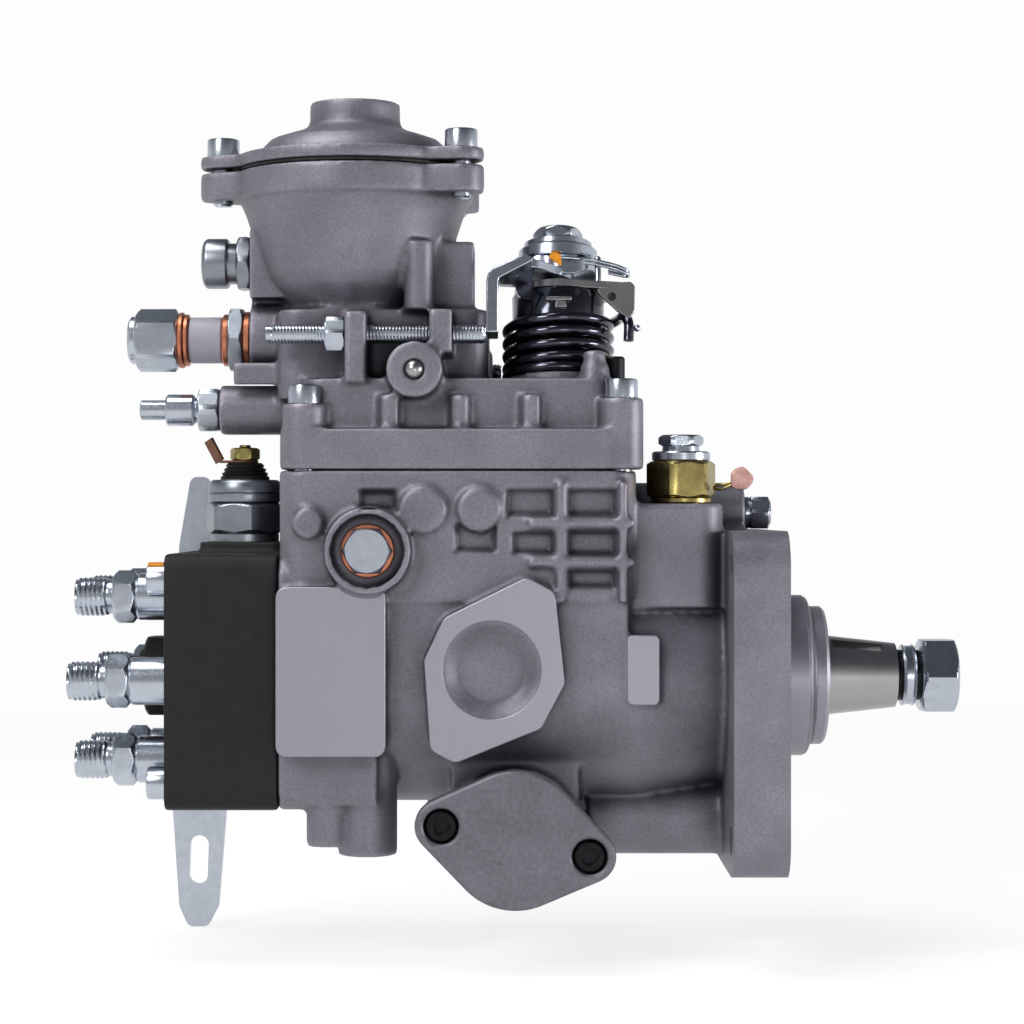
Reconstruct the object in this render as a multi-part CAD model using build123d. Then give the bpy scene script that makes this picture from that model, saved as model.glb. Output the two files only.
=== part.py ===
"""Six-outlet distributor injection pump with boost compensator, one STEP file per piece.

Millimetres. Origin at the centre of the mounting flange's face, +X out of the drive end
along the shaft, +Z up, -Y towards the side that carries the speed screws.
"""

import os
from math import acos, atan2, ceil, cos, degrees, pi, radians, sin, sqrt, tan

from build123d import *

os.makedirs("parts", exist_ok=True)

# ---------------------------------------------------------------- clearances
RUN = 0.05  # radial play of a shaft or piston in its bore
FREE = 0.3  # gap between two pieces that move past each other

# ---------------------------------------------------------------- facets
ROUND_ERROR = 0.3  # how far the flats of a facetted round lie inside its circle
FEW_SIDES = 8  # sides of the shanks that repeat, and of the holes they fill
HEAD_SIDES = 12  # sides of the screw heads and washers that repeat
CORNER_STEPS = 2  # flats that round off a corner

# ---------------------------------------------------------------- drive end
FLANGE_T = 16.5
BOLT_SPACING_Y = 92.0
BOLT_SPACING_Z = 80.0
BOLT_CENTRE_Z = -5.7
BOLT_HOLE_R = 4.5
BOLT_CORNER_R = 11.0
PILOT_R = 25.0
PILOT_LENGTH = 10.9
NOSE_R = 21.5
NOSE_END = 15.9
SHAFT_R = 12.5
DRIVE_JOURNAL_R = 10.0
JOURNAL_START = -36.0
TAPER_END = 38.4
TAPER_R = 10.0
KEY_WIDTH = 4.0
KEYWAY_X = (18.0, 34.0)
KEYWAY_FLOOR_R = 8.6
KEYWAY_TURN = 32.0  # degrees from the top towards -Y
SHAFT_THREAD_R = 7.0
SHAFT_NUT_AF = 22.0
SHAFT_NUT_START = 45.9
SHAFT_NUT_END = 58.4
LOCK_WASHER_R = 8.9
SEAL_R = 18.0
SEAL_DEPTH = 6.0
BUSH_WALL = 2.5
RING_ECCENTRIC = 2.4
RING_BORE_R = 24.0
PUMP_WIDTH = 11.8
VANE_COUNT = 4
VANE_T = 2.5
VANE_ROOT_R = 15.0

# ---------------------------------------------------------------- housing
BODY_END = -150.9  # joint between housing and distributor head
BARREL_R = 39.0
NECK_R = 34.0
CHAMBER_LOW_Y = -27.0
CHAMBER_HIGH_Y = 30.5
CHAMBER_FRONT = -46.5
CHAMBER_BACK = -143.5
BODY_HALF_Y = 40.0
BODY_CORNER_R = 9.0
BODY_FOOT = 24.0  # height from which the body rises square
BODY_TOP = 63.4
COVER_END = -43.6
STEP_TOP = 53.6
STEP_HALF_Y = 34.0
STEP_END = -17.2
STEP_LAP = 14.0  # how far the step runs into the body
LOWER_BOSSES = (  # axis, radius, start, end and place across it
    ("X", 12.0, -58.0, -FLANGE_T, -6.0, -43.0),
    ("Z", 9.0, -52.5, -20.0, -124.5, -27.0),
    ("Z", 7.0, -49.5, -20.0, -136.0, -29.0),
)
SHIELD_CORNERS = (  # X, Z round the shield-shaped pad
    (-76.6, 31.7),
    (-68.3, 27.3),
    (-65.3, 0.1),
    (-72.4, -13.2),
    (-97.8, -23.5),
    (-105.2, -19.4),
    (-107, 7.2),
    (-101.1, 19.6),
)
SHOULDER_LENGTH = 29.9  # square length of the body behind the head
PAD_Y = -44.0  # milled faces on the -Y side
PAD_SIZE = (32.5, 50.2)
PAD_Z = 3.6
DIMPLE = (-86.9, 4.2)  # X, Z of the dimple in the shield pad
ROUND_BOSSES = ((-107.6, 51.5, 7.1), (-90.8, 51.8, 6.5), (-141.6, 47.6, 4.7))
RIB_Y = -42.0
RIB_T = 2.4
UPRIGHT_RIBS_X = (-66.5, -48.0)
LEVEL_RIBS_Z = (36.0, 47.6)
CAM_BORE_R = 30.4
PUMP_BORE_R = 29.6
PUMP_BORE_START = -24.0
CAM_BORE_START = -40.0

# ---------------------------------------------------------------- governor drive
GEAR_MODULE = 1.5
DRIVE_TEETH = 38
CAGE_TEETH = 30
GEAR_BACKLASH = 0.25
GEAR_START = -49.0
GEAR_WIDTH = 6.5
GOVERNOR_Y = 5.5
GEAR_CENTRES = GEAR_MODULE * (DRIVE_TEETH + CAGE_TEETH) / 2
GOVERNOR_Z = sqrt(GEAR_CENTRES**2 - GOVERNOR_Y**2)
GOVERNOR_SHAFT_R = 4.0
GOVERNOR_BOSS_R = 9.5
GOVERNOR_BOSS_END = -8.2
GOVERNOR_SHAFT_END = -118.0
WEIGHT_COUNT = 4
WEIGHT_PIVOT_X = -62.0
WEIGHT_PIVOT_R = 14.5
WEIGHT_PIN_R = 1.5
WEIGHT_WIDTH = 8.0
WEIGHT_END = -75.0
WEIGHT_OUTER_R = 16.5
WEIGHT_INNER_R = 11.8
WEIGHT_TOE_R = 7.6
WEIGHT_TOE_X = -67.0
SLEEVE_R = 6.5
COLLAR_R = 10.5
COLLAR_T = 2.5
SLEEVE_END = -110.0
LEVER_T = 4.0
LEVER_PIVOT_Z = 28.0
LEVER_PIN_R = 3.0
LEVER_TOP = 84.0
LEVER_PEG_R = 2.2
LEVER_PEG_END = 7.3

# ---------------------------------------------------------------- cam and plunger
ROLLER_RING_FRONT = -72.0
ROLLER_RING_BACK = -85.5
ROLLER_RING_BORE_R = 15.5
ROLLER_R = 4.2
ROLLER_ANGLES = (30, 150, 210, 330)
ROLLER_INNER_R = 17.0
ROLLER_OUTER_R = 26.0
CAM_FACE_X = -91.0
CAM_BACK_X = -98.0
CAM_R = 26.0
CAM_LIFT = 2.2
CAM_LOBES = 6
CAM_LOBE_R = 16.0
PLUNGER_R = 6.0
BRIDGE_FRONT = -99.5
BRIDGE_T = 3.0
PLUNGER_SPRING_Y = 19.0
PLUNGER_SPRING_R = 5.0
CLAW_INNER = 5.0
CLAW_OUTER = 12.5
CLAW_HALF_W = 4.5
CROSS_FRONT = -65.0
CROSS_T = 4.0
CLAW_FLANGE_R = 14.0
CLAW_FLANGE_START = CROSS_FRONT + 7
SPILL_R = 11.0
SPILL_W = 9.0

# ---------------------------------------------------------------- timing device
TIMING_X = -80.0
TIMING_Z = -45.5
TIMING_BORE_R = 13.0
TIMING_WALL = 6.5
TIMING_FACE_Y = 46.0
TIMING_PISTON_HALF = 20.0
TIMING_PIN_R = 4.0
TIMING_TRAVEL = 8.0
TIMING_TILT_ROOM = 2.6  # the pin leans in its slot as the ring turns
TIMING_COVER_T = 5.0
TIMING_COVER_R = 20.5
TIMING_EAR_R = 7.8
TIMING_EAR_T = 7.0
TIMING_SCREW_DEPTH = 9.0
TIMING_EARS = ((-21.8, 4.3), (21.8, -4.6))  # X, Z from the cylinder axis
TIMING_SCREW_R = 2.7
TIMING_HEAD_H = 3.0
TIMING_COUNTERBORE_R = 5.2

# ---------------------------------------------------------------- distributor head
HEAD_END = -184.9
HEAD_HALF = 38.5
HEAD_CORNER_R = 4.0
HEAD_SPIGOT_LENGTH = 11.0
HEAD_PAD_TOP = HEAD_HALF + 3.3
HEAD_BARREL_R = 12.5
HEAD_BARREL_START = -120.0
HEAD_SCREW_AT = 30.5
HEAD_SCREW_R = 3.0
HEAD_SCREW_DEPTH = 14.0
OUTLET_COUNT = 6
OUTLET_CIRCLE_R = 28.8
OUTLET_SHANK_R = 7.2
OUTLET_SHANK_DEPTH = 13.0
OUTLET_COLLAR = 11.0
OUTLET_HEX_AF = 14.0
OUTLET_HEX_LENGTH = 7.0
OUTLET_THREAD_R = 6.0
OUTLET_THREAD_LENGTH = 10.0
VALVE_R = 4.1
VALVE_DEPTH = OUTLET_SHANK_DEPTH + 4
CENTRE_PLUG_AF = 24.0
CENTRE_PLUG_R = 9.0
CENTRE_PLUG_DEPTH = 12.0

# ---------------------------------------------------------------- shut-off solenoid
SOLENOID_X = -164.4
SOLENOID_HEX_AF = 22.0
SOLENOID_R = 11.4
SOLENOID_SHANK_R = 8.0
SOLENOID_HEX_Z = HEAD_PAD_TOP + 2.5
SOLENOID_HEX_TOP = SOLENOID_HEX_Z + 9.4
SOLENOID_TOP = SOLENOID_HEX_TOP + 7.2
INSULATOR_R = 7.6
INSULATOR_TOP = SOLENOID_TOP + 5.3
STUD_R = 2.0
BLADE_T = 0.8
ARMATURE_R = 5.2

# ---------------------------------------------------------------- cover and compensator
COVER_BAND_TOP = 75.8
COVER_HALF_Y = 40.0
COVER_DECK = 91.2
COVER_BLOCK_TOP = 113.0
COVER_BLOCK_START = -153.0
COVER_BLOCK_END = -88.0
COVER_BLOCK_WIDTH = 46.0
COVER_BLOCK_Y = 2.0
COVER_PILLARS = ((-117.6, 3.4), (-96.5, 3.4), (-75.3, 3.4))  # X, radius
COVER_PILLAR_Y = -34.5
COVER_CAVITY_TOP = 85.0
COVER_CAVITY_HALF_Y = 28.0
COVER_CAVITY_FRONT = -47.2
COVER_CAVITY_BACK = -142.0
COVER_COUNTERBORE_R = 6.0
COVER_SCREWS = ((-143.1, 83.4), (-48.3, 85.2))  # X and seat height, one pair each side
COVER_SCREW_Y = 33.5
COVER_SCREW_DEPTH = 12.0  # of the hole in the housing
M6_R = 3.0
M6_HEAD_R = 5.0
M6_HEAD_H = 5.6
COMP_X = -130.0
COMP_FLANGE_R = 37.0
COMP_LOBE_CIRCLE_R = 41.0
COMP_LOBE_R = 7.2
COMP_LOBE_ANGLES = (182, -35, 40, 110)
COMP_FLANGE_BOTTOM = 147.5
COMP_PARTING = 156.2
DIAPHRAGM_T = 0.8
LID_T = 4.4
COMP_BORE_R = 27.0
COMP_FLOOR = 130.0
COMP_SPRING_ROOM_R = 18.0
BOWL_R = 35.5
BOWL_WALL = (  # Z, radius
    (108.0, 20.0),
    (114.0, 20.0),
    (123.0, 27.0),
    (134.0, 31.0),
    (COMP_FLANGE_BOTTOM, BOWL_R),
    (COMP_PARTING, BOWL_R),
)
BOWL_POST = (-109.3, -22.0)  # X, Y
BOWL_POST_R = 4.7
BOWL_POST_TOP = 133.3
BOWL_WEB_XY = ((-112.0, -92.5), (-16.0, 6.0))
LID_DOME = ((166.5, 26.5), (169.9, 16.0))  # Z, radius
STEM_R = 4.0
KNOB_R = 14.1
KNOB_TOP = 178.3
KNOB_BASE = 170.6
BOOST_Z = 128.4
BOOST_SEAT_X = COMP_X - 32.2
BOOST_SHANK_R = 5.0
SPEED_SCREW_Y = -28.0
MAX_SCREW_Z = 104.5
MAX_SCREW_X = (-155.1, -88.9)
MAX_SCREW_LUGS = (((-131.3, -124.5), (89.6, 111.3)), ((-106.0, -98.9), (98.5, 111.9)))  # X, Z
IDLE_SCREW_Y = 12.0
IDLE_SCREW_Z = 94.8
SPEED_NUT_AF = 10.0
SPEED_NUT_H = 6.0
PLUG_BOSS_X = -110.1
PLUG_BOSS_Z = 93.3
PLUG_BOSS_R = 8.5
PLUG_BOSS_FACE_Y = -41.0
RETURN_Z = 104.5
RETURN_FACE = -162.3
RETURN_BOSS_R = 11.7
RETURN_BOLT_R = 3.0
RETURN_THREAD_R = 5.0
RETURN_STACK = (-184.8, -183.2, -181.6, -171.0, -169.1, -164.4)  # faces, bolt head first
WASHER_R = 8.1
FULL_LOAD_Y = -5.0
FULL_LOAD_Z = 82.5
FULL_LOAD_R = 4.0
FULL_LOAD_FACE = -171.6
FULL_LOAD_BOSS_R = 7.8
FULL_LOAD_COLLAR = (-188.2, -179.4)
SEAL_TAB = ((-166.7, -150.0), (-14.0, -11.0), (90.0, 97.0))

# ---------------------------------------------------------------- throttle
THROTTLE_X = -66.6
THROTTLE_Y = -4.0
THROTTLE_LEAN = 10.0  # degrees, top of the shaft towards +Y
THROTTLE_SHAFT_R = 5.0
SPRING_COIL_R = 15.9
SPRING_WIRE_R = 1.6
SPRING_TURNS = 4.25
SPRING_PITCH = 4.0
THROTTLE_SEAT_R = 18.6
THROTTLE_BOSS_R = 10.0
THROTTLE_BOSS_TOP = 16.0
CUP_R = 14.6
CUP_WALL = 1.6
CUP_BOTTOM = 21.0
CUP_TOP = 29.4
LEVER_BOTTOM = 29.7
LEVER_PLATE_T = 3.2
HUB_R = 11.2
HUB_TOP = 37.2
THROTTLE_WASHER_R = 12.3
THROTTLE_WASHER_T = 4.0
THROTTLE_NUT_AF = 13.0
THROTTLE_NUT_TOP = 48.4
HOOK_X = 21.0  # the hooked arm beside the spring, from the throttle axis
THROTTLE_TAB_X = -86.4
THROTTLE_TAB_T = 3.0
THROTTLE_TAB_END = 10.0
ECCENTRIC = 6.0
ECCENTRIC_TOP = -8.5
ECCENTRIC_T = 2.5
ECCENTRIC_PIN_END = -15.5

# ---------------------------------------------------------------- ports and plugs
INLET_X = -29.2
INLET_Y = -15.0
INLET_HEX_AF = 19.0
INLET_SHANK_R = 7.0
INLET_BORE_R = 4.0
INLET_TOP = STEP_TOP + 12.9
SIDE_PLUG_X = -123.7
SIDE_PLUG_Z = 39.4
SIDE_PLUG_AF = 14.0
SIDE_PLUG_R = 5.5
SIDE_PLUG_HEAD_H = 4.6
SIDE_BOSS_R = 13.0
SIDE_FACE_Y = -46.0
BRACKET_Y = HEAD_HALF
BRACKET_T = 3.0
BRACKET_SCREW_X = -182.5
BRACKET_SCREW_Z = 12.0
BRACKET_SLOT = (-183.5, -63.0)
BRACKET_CORNERS = (  # X, Z
    (-186.2, 62.4),
    (-180.2, 62.4),
    (-176, 40),
    (-174, -40),
    (-177, -78),
    (-180.5, -84.8),
    (-187, -84.8),
    (-190, -78),
    (-192.5, -40),
    (-190, 40),
)


# ================================================================ shape helpers
def plane_at(axis, start, end, u, v):
    """Sketch plane square to an axis; its local x, y are the other two axes in X, Y, Z order."""
    if axis == "X":
        return Plane(origin=(start, u, v), x_dir=(0, 1, 0), z_dir=(1, 0, 0))
    if axis == "Y":
        return Plane(origin=(u, end, v), x_dir=(1, 0, 0), z_dir=(0, -1, 0))
    return Plane(origin=(u, v, start), x_dir=(1, 0, 0), z_dir=(0, 0, 1))


def prism(axis, sketch, start, end, u=0.0, v=0.0, taper=0.0):
    """Extrude a sketch along an axis from start to end, with start below end."""
    return extrude(plane_at(axis, start, end, u, v) * sketch, amount=end - start, taper=taper)


def rod(axis, radius, start, end, u=0.0, v=0.0):
    """Truly round rod, for fits, mounts and pieces that turn."""
    return prism(axis, Circle(radius), start, end, u, v)


def sides_of(radius):
    """Sides of a facetted round, in fours."""
    if radius < 4 * ROUND_ERROR:
        return FEW_SIDES
    return max(FEW_SIDES, 4 * ceil(pi / acos(1 - ROUND_ERROR / radius) / 4))


def disc(radius, sides=0):
    """Facetted round face with its corners on the circle."""
    return RegularPolygon(radius, sides or sides_of(radius))


def peg(axis, radius, start, end, u=0.0, v=0.0, sides=0):
    """Facetted rod, for rounds that nothing turns in."""
    return prism(axis, disc(radius, sides), start, end, u, v)


def sleeve(axis, outer, bore, start, end, u=0.0, v=0.0):
    """Facetted rod with a truly round bore."""
    return prism(axis, disc(outer) - Circle(bore), start, end, u, v)


def ring(axis, outer, inner, start, end, u=0.0, v=0.0):
    """Facetted ring."""
    return prism(axis, disc(outer) - disc(inner), start, end, u, v)


def stack(axis, points, u=0.0, v=0.0):
    """Facetted turning; points are (distance along the axis, radius), from low to high."""
    sides = sides_of(max(radius for along, radius in points))
    flat = cos(pi / sides)
    solid = Part()
    for (start, first), (end, last) in zip(points, points[1:]):
        if end > start:
            lean = degrees(atan2((first - last) * flat, end - start))
            solid += prism(axis, RegularPolygon(first, sides), start, end, u, v, taper=lean)
    return solid


def block(x, y, z):
    """Box from three (low, high) pairs."""
    size = [pair[1] - pair[0] for pair in (x, y, z)]
    middle = [(pair[1] + pair[0]) / 2 for pair in (x, y, z)]
    return Pos(*middle) * Box(*size)


def hexagon(across_flats, turn=0.0):
    return Rot(0, 0, turn) * RegularPolygon(across_flats / 2, 6, major_radius=False)


def outline(*points):
    return make_face(Polyline(*points, close=True))


def turned(axis, points, u=0.0, v=0.0):
    """Solid of revolution about an axis; points are (distance along it, radius)."""
    solid = revolve(outline(*points), Axis.X)
    if axis == "X":
        return Pos(0, u, v) * solid
    if axis == "Y":
        return Pos(u, 0, v) * Rot(0, 0, 90) * solid
    return Pos(u, v, 0) * Rot(0, -90, 0) * solid


def cross(first, second, third):
    """Positive where three points turn left."""
    across, up = second[0] - first[0], second[1] - first[1]
    return across * (third[1] - first[1]) - up * (third[0] - first[0])


def hull(*circles):
    """Facetted outline stretched round circles given as (x, y, radius)."""
    points = []
    for x, y, radius in circles:
        points += [(x + u, y + v) for u, v in around(sides_of(radius), radius)]
    points.sort()
    rim = []
    for run in (points, points[::-1]):
        side = []
        for point in run:
            while len(side) > 1 and cross(side[-2], side[-1], point) <= 1e-6:
                side.pop()
            side.append(point)
        rim += side[:-1]
    return outline(*rim)


def eased(width, height, corner):
    """Rectangle whose corners are rounded off in flats."""
    points = []
    for quarter, (x, y) in enumerate(((1, 1), (-1, 1), (-1, -1), (1, -1))):
        for step in range(CORNER_STEPS + 1):
            angle = pi / 2 * (quarter + step / CORNER_STEPS)
            points.append((x * (width / 2 - corner) + corner * cos(angle),
                           y * (height / 2 - corner) + corner * sin(angle)))
    return outline(*points)


def cap_screw(axis, seat, shank_end, u, v, radius=M6_R, head_h=M6_HEAD_H):
    """Cap screw; its head stands on seat, away from shank_end."""
    head_r = radius * M6_HEAD_R / M6_R
    if seat > shank_end:
        head = peg(axis, head_r, seat, seat + head_h, u, v, HEAD_SIDES)
        return head + peg(axis, radius, shank_end, seat, u, v)
    head = peg(axis, head_r, seat - head_h, seat, u, v, HEAD_SIDES)
    return head + peg(axis, radius, seat, shank_end, u, v)


def coil(radius, wire, pitch, turns, steps=8, sides=4):
    """Wire wound about Z in straight steps, its first turn starting at height 0."""
    points = []
    for index in range(round(turns * steps) + 1):
        angle = 2 * pi * index / steps
        points.append((radius * cos(angle), radius * sin(angle), pitch * index / steps))
    path = Polyline(*points)
    start = Plane(origin=points[0], z_dir=Vector(*points[1]) - Vector(*points[0]), x_dir=(1, 0, 0))
    return sweep(start * RegularPolygon(wire, sides), path=path, transition=Transition.RIGHT)


def involute(angle):
    return tan(angle) - angle


def gear_outline(teeth, start_angle):
    """Spur gear with a tooth centred on start_angle, in degrees; flanks run root to tip."""
    pitch_r = GEAR_MODULE * teeth / 2
    pressure = radians(20)
    base_r = pitch_r * cos(pressure)
    half = (pi * GEAR_MODULE / 2 - GEAR_BACKLASH) / (2 * pitch_r) + involute(pressure)
    root_r = pitch_r - 1.25 * GEAR_MODULE
    tip_r = pitch_r + 0.9 * GEAR_MODULE
    tip_half = half - involute(atan2(sqrt(tip_r**2 - base_r**2), base_r))
    points = []
    for tooth in range(teeth):
        middle = radians(start_angle) + 2 * pi * tooth / teeth
        for radius, angle in ((root_r, -half), (tip_r, -tip_half), (tip_r, tip_half), (root_r, half)):
            points.append((radius * cos(middle + angle), radius * sin(middle + angle)))
    return outline(*points)


def around(count, radius, first=0.0):
    """Evenly spaced points (u, v) on a circle."""
    angles = [radians(first + 360 * index / count) for index in range(count)]
    return [(radius * cos(angle), radius * sin(angle)) for angle in angles]


def on_throttle(shape):
    """Place a shape drawn about Z, height 0 at the deck, on the leaning throttle axis."""
    return Pos(THROTTLE_X, THROTTLE_Y, COVER_DECK) * Rot(-THROTTLE_LEAN, 0, 0) * shape


def on_governor(shape):
    """Place a shape drawn about the X axis on the governor shaft."""
    return Pos(0, GOVERNOR_Y, GOVERNOR_Z) * shape


def group(*shapes):
    return Compound(children=[solid for shape in shapes for solid in shape.solids()])


# ================================================================ shared outlines and places
BOLT_POINTS = [
    (y * BOLT_SPACING_Y / 2, BOLT_CENTRE_Z + z * BOLT_SPACING_Z / 2) for y in (-1, 1) for z in (-1, 1)
]
OUTLET_POINTS = around(OUTLET_COUNT, OUTLET_CIRCLE_R, 180)
HEAD_SCREW_POINTS = [(y * HEAD_SCREW_AT, z * HEAD_SCREW_AT) for y in (-1, 1) for z in (-1, 1)]
COVER_SCREW_POINTS = [(x, side * COVER_SCREW_Y, seat) for x, seat in COVER_SCREWS for side in (-1, 1)]
LID_SCREW_POINTS = [
    (
        COMP_X + COMP_LOBE_CIRCLE_R * cos(radians(angle)),
        COMP_LOBE_CIRCLE_R * sin(radians(angle)),
    )
    for angle in COMP_LOBE_ANGLES
]
LEVER_X = SLEEVE_END - FREE - LEVER_T / 2
LID_BOTTOM = COMP_PARTING + DIAPHRAGM_T
LID_TOP = LID_BOTTOM + LID_T
ROLLER_X = CAM_FACE_X + CAM_LIFT + FREE + ROLLER_R
CROSS_BACK = CROSS_FRONT - CROSS_T
TIMING_COVER_FACE = TIMING_FACE_Y + TIMING_COVER_T
TIMING_SCREW_SEAT_Y = TIMING_FACE_Y + 1.2
SPRING_START = FREE + SPRING_WIRE_R
PLUG_SEAT_Y = SIDE_FACE_Y + 1.6


def lobed_flange():
    """Round flange with screw lobes drawn out of it, for the compensator bowl and lid."""
    sketch = disc(COMP_FLANGE_R)
    for angle in COMP_LOBE_ANGLES:
        x = COMP_LOBE_CIRCLE_R * cos(radians(angle))
        y = COMP_LOBE_CIRCLE_R * sin(radians(angle))
        sketch += hull((x * 0.55, y * 0.55, COMP_FLANGE_R * 0.42), (x, y, COMP_LOBE_R))
    return sketch


def timing_cover_outline():
    circles = [(x, z, TIMING_EAR_R) for x, z in TIMING_EARS]
    return hull((0, 0, TIMING_COVER_R), *circles)


# ================================================================ housing casting
def flange_plate():
    corners = [(y, z, BOLT_CORNER_R) for y, z in BOLT_POINTS]
    plate = prism("X", hull(*corners), -FLANGE_T, 0)
    for y, z in BOLT_POINTS:
        plate -= rod("X", BOLT_HOLE_R, -FLANGE_T, 0, y, z)
    return plate


def housing_outside():
    body = stack("X", [(BODY_END, BARREL_R), (COVER_END, BARREL_R), (-FLANGE_T, NECK_R)])
    upper = eased(COVER_END - BODY_END, 2 * BODY_HALF_Y, BODY_CORNER_R)
    body += prism("Z", upper, BODY_FOOT, BODY_TOP, (BODY_END + COVER_END) / 2, 0)
    step_start = COVER_END - STEP_LAP
    step = eased(STEP_END - step_start, 2 * STEP_HALF_Y, BODY_CORNER_R - 1)
    body += prism("Z", step, BODY_FOOT - 2, STEP_TOP, (STEP_END + step_start) / 2, 0)
    body += block((-140, -46), (-BARREL_R, BARREL_R), (0, 30))
    shoulder = eased(2 * HEAD_HALF, 2 * HEAD_HALF, HEAD_CORNER_R + 2)
    body += prism("X", shoulder, BODY_END, BODY_END + SHOULDER_LENGTH)
    body += peg("X", GOVERNOR_BOSS_R, COVER_END - 4, GOVERNOR_BOSS_END, GOVERNOR_Y, GOVERNOR_Z)
    outer = TIMING_BORE_R + TIMING_WALL
    body += peg("Y", outer, -TIMING_FACE_Y, TIMING_FACE_Y, TIMING_X, TIMING_Z)
    for low in (-TIMING_FACE_Y, TIMING_FACE_Y - TIMING_EAR_T):
        body += prism("Y", timing_cover_outline(), low, low + TIMING_EAR_T, TIMING_X, TIMING_Z)
    body += block((TIMING_X - outer, TIMING_X + outer), (-31, 31), (TIMING_Z, -20))
    for axis, radius, start, end, u, v in LOWER_BOSSES:
        body += peg(axis, radius, start, end, u, v)
    return body


def side_details():
    """Milled pads, bosses and ribs on the -Y side."""
    pad = eased(*PAD_SIZE, HEAD_CORNER_R)
    pads = prism("Y", pad, PAD_Y, PAD_Y + 10, BODY_END + PAD_SIZE[0] / 2, PAD_Z)
    shield = outline(*SHIELD_CORNERS)
    shield = chamfer(shield.vertices(), 2)
    pads += prism("Y", shield, PAD_Y, PAD_Y + 14)
    pads -= peg("Y", 14.5, PAD_Y, PAD_Y + 0.8, *DIMPLE)
    pads += peg("Y", 8.3, PAD_Y + 0.3, PAD_Y + 4, *DIMPLE)
    pads += prism("Y", eased(9.8, 20.8, 2), -39.6, PAD_Y + 10, -41.9, 3.9)
    pads += peg("Y", SIDE_BOSS_R, SIDE_FACE_Y, PAD_Y + 10, SIDE_PLUG_X, SIDE_PLUG_Z)
    for x, z, radius in ROUND_BOSSES:
        pads += peg("Y", radius, RIB_Y - 0.2, RIB_Y + 4, x, z, HEAD_SIDES)
    for x in UPRIGHT_RIBS_X:
        pads += block((x - RIB_T / 2, x + RIB_T / 2), (RIB_Y, RIB_Y + 4), (BODY_FOOT, 60))
    for z in LEVEL_RIBS_Z:
        pads += block((-76, -44.5), (RIB_Y, RIB_Y + 4), (z - RIB_T / 2, z + RIB_T / 2))
    return pads


def housing_inside():
    """Everything that is cut out of the housing casting."""
    bush_r = SHAFT_R + BUSH_WALL
    cut = peg("X", bush_r, PUMP_BORE_START, NOSE_END)
    cut += peg("X", SEAL_R, NOSE_END - SEAL_DEPTH, NOSE_END)
    cut += peg("X", PUMP_BORE_R, CAM_BORE_START, PUMP_BORE_START)
    cut += rod("X", CAM_BORE_R, BODY_END, CAM_BORE_START)
    chamber = eased(CHAMBER_FRONT - CHAMBER_BACK, CHAMBER_HIGH_Y - CHAMBER_LOW_Y, 5)
    middle_x = (CHAMBER_FRONT + CHAMBER_BACK) / 2
    middle_y = (CHAMBER_HIGH_Y + CHAMBER_LOW_Y) / 2
    cut += prism("Z", chamber, 18, BODY_TOP, middle_x, middle_y)
    cut += rod("X", GOVERNOR_SHAFT_R, -50, GOVERNOR_BOSS_END, GOVERNOR_Y, GOVERNOR_Z)
    cut += rod("Y", TIMING_BORE_R, -TIMING_FACE_Y, TIMING_FACE_Y, TIMING_X, TIMING_Z)
    slot_r = TIMING_PIN_R + 0.6
    slot = hull((TIMING_X, 0, slot_r), (TIMING_X, TIMING_TRAVEL, slot_r))
    cut += prism("Z", slot, TIMING_Z, -20)
    pin_r = LEVER_PIN_R + RUN
    cut += rod("Y", pin_r, CHAMBER_LOW_Y - 4, CHAMBER_HIGH_Y + 4, LEVER_X, LEVER_PIVOT_Z)
    cut += peg("Y", SIDE_PLUG_R, SIDE_FACE_Y, CHAMBER_LOW_Y, SIDE_PLUG_X, SIDE_PLUG_Z)
    cut += peg("Y", SIDE_BOSS_R - 2.2, SIDE_FACE_Y, SIDE_FACE_Y + 3, SIDE_PLUG_X, SIDE_PLUG_Z)
    cut += peg("Z", INLET_SHANK_R, STEP_TOP - 14, STEP_TOP, INLET_X, INLET_Y)
    cut += peg("Z", INLET_BORE_R, 24, STEP_TOP, INLET_X, INLET_Y)
    for x, y, seat in COVER_SCREW_POINTS:
        cut += peg("Z", M6_R, BODY_TOP - COVER_SCREW_DEPTH, BODY_TOP, x, y)
    for y, z in HEAD_SCREW_POINTS:
        cut += peg("X", HEAD_SCREW_R, BODY_END, BODY_END + HEAD_SCREW_DEPTH, y, z)
    for side in (-1, 1):
        for x, z in TIMING_EARS:
            near, far = sorted((side * TIMING_FACE_Y, side * (TIMING_FACE_Y - TIMING_SCREW_DEPTH)))
            cut += peg("Y", TIMING_SCREW_R, near, far, TIMING_X + x, TIMING_Z + z)
    return cut


def pump_housing():
    body = housing_outside() + side_details() + flange_plate()
    body += turned(
        "X",
        [
            (-1, 0),
            (-1, PILOT_R),
            (PILOT_LENGTH - 1, PILOT_R),
            (PILOT_LENGTH, PILOT_R - 1),
            (PILOT_LENGTH, NOSE_R),
            (NOSE_END - 1, NOSE_R),
            (NOSE_END, NOSE_R - 1),
            (NOSE_END, 0),
        ],
    )
    return body - housing_inside()


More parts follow.
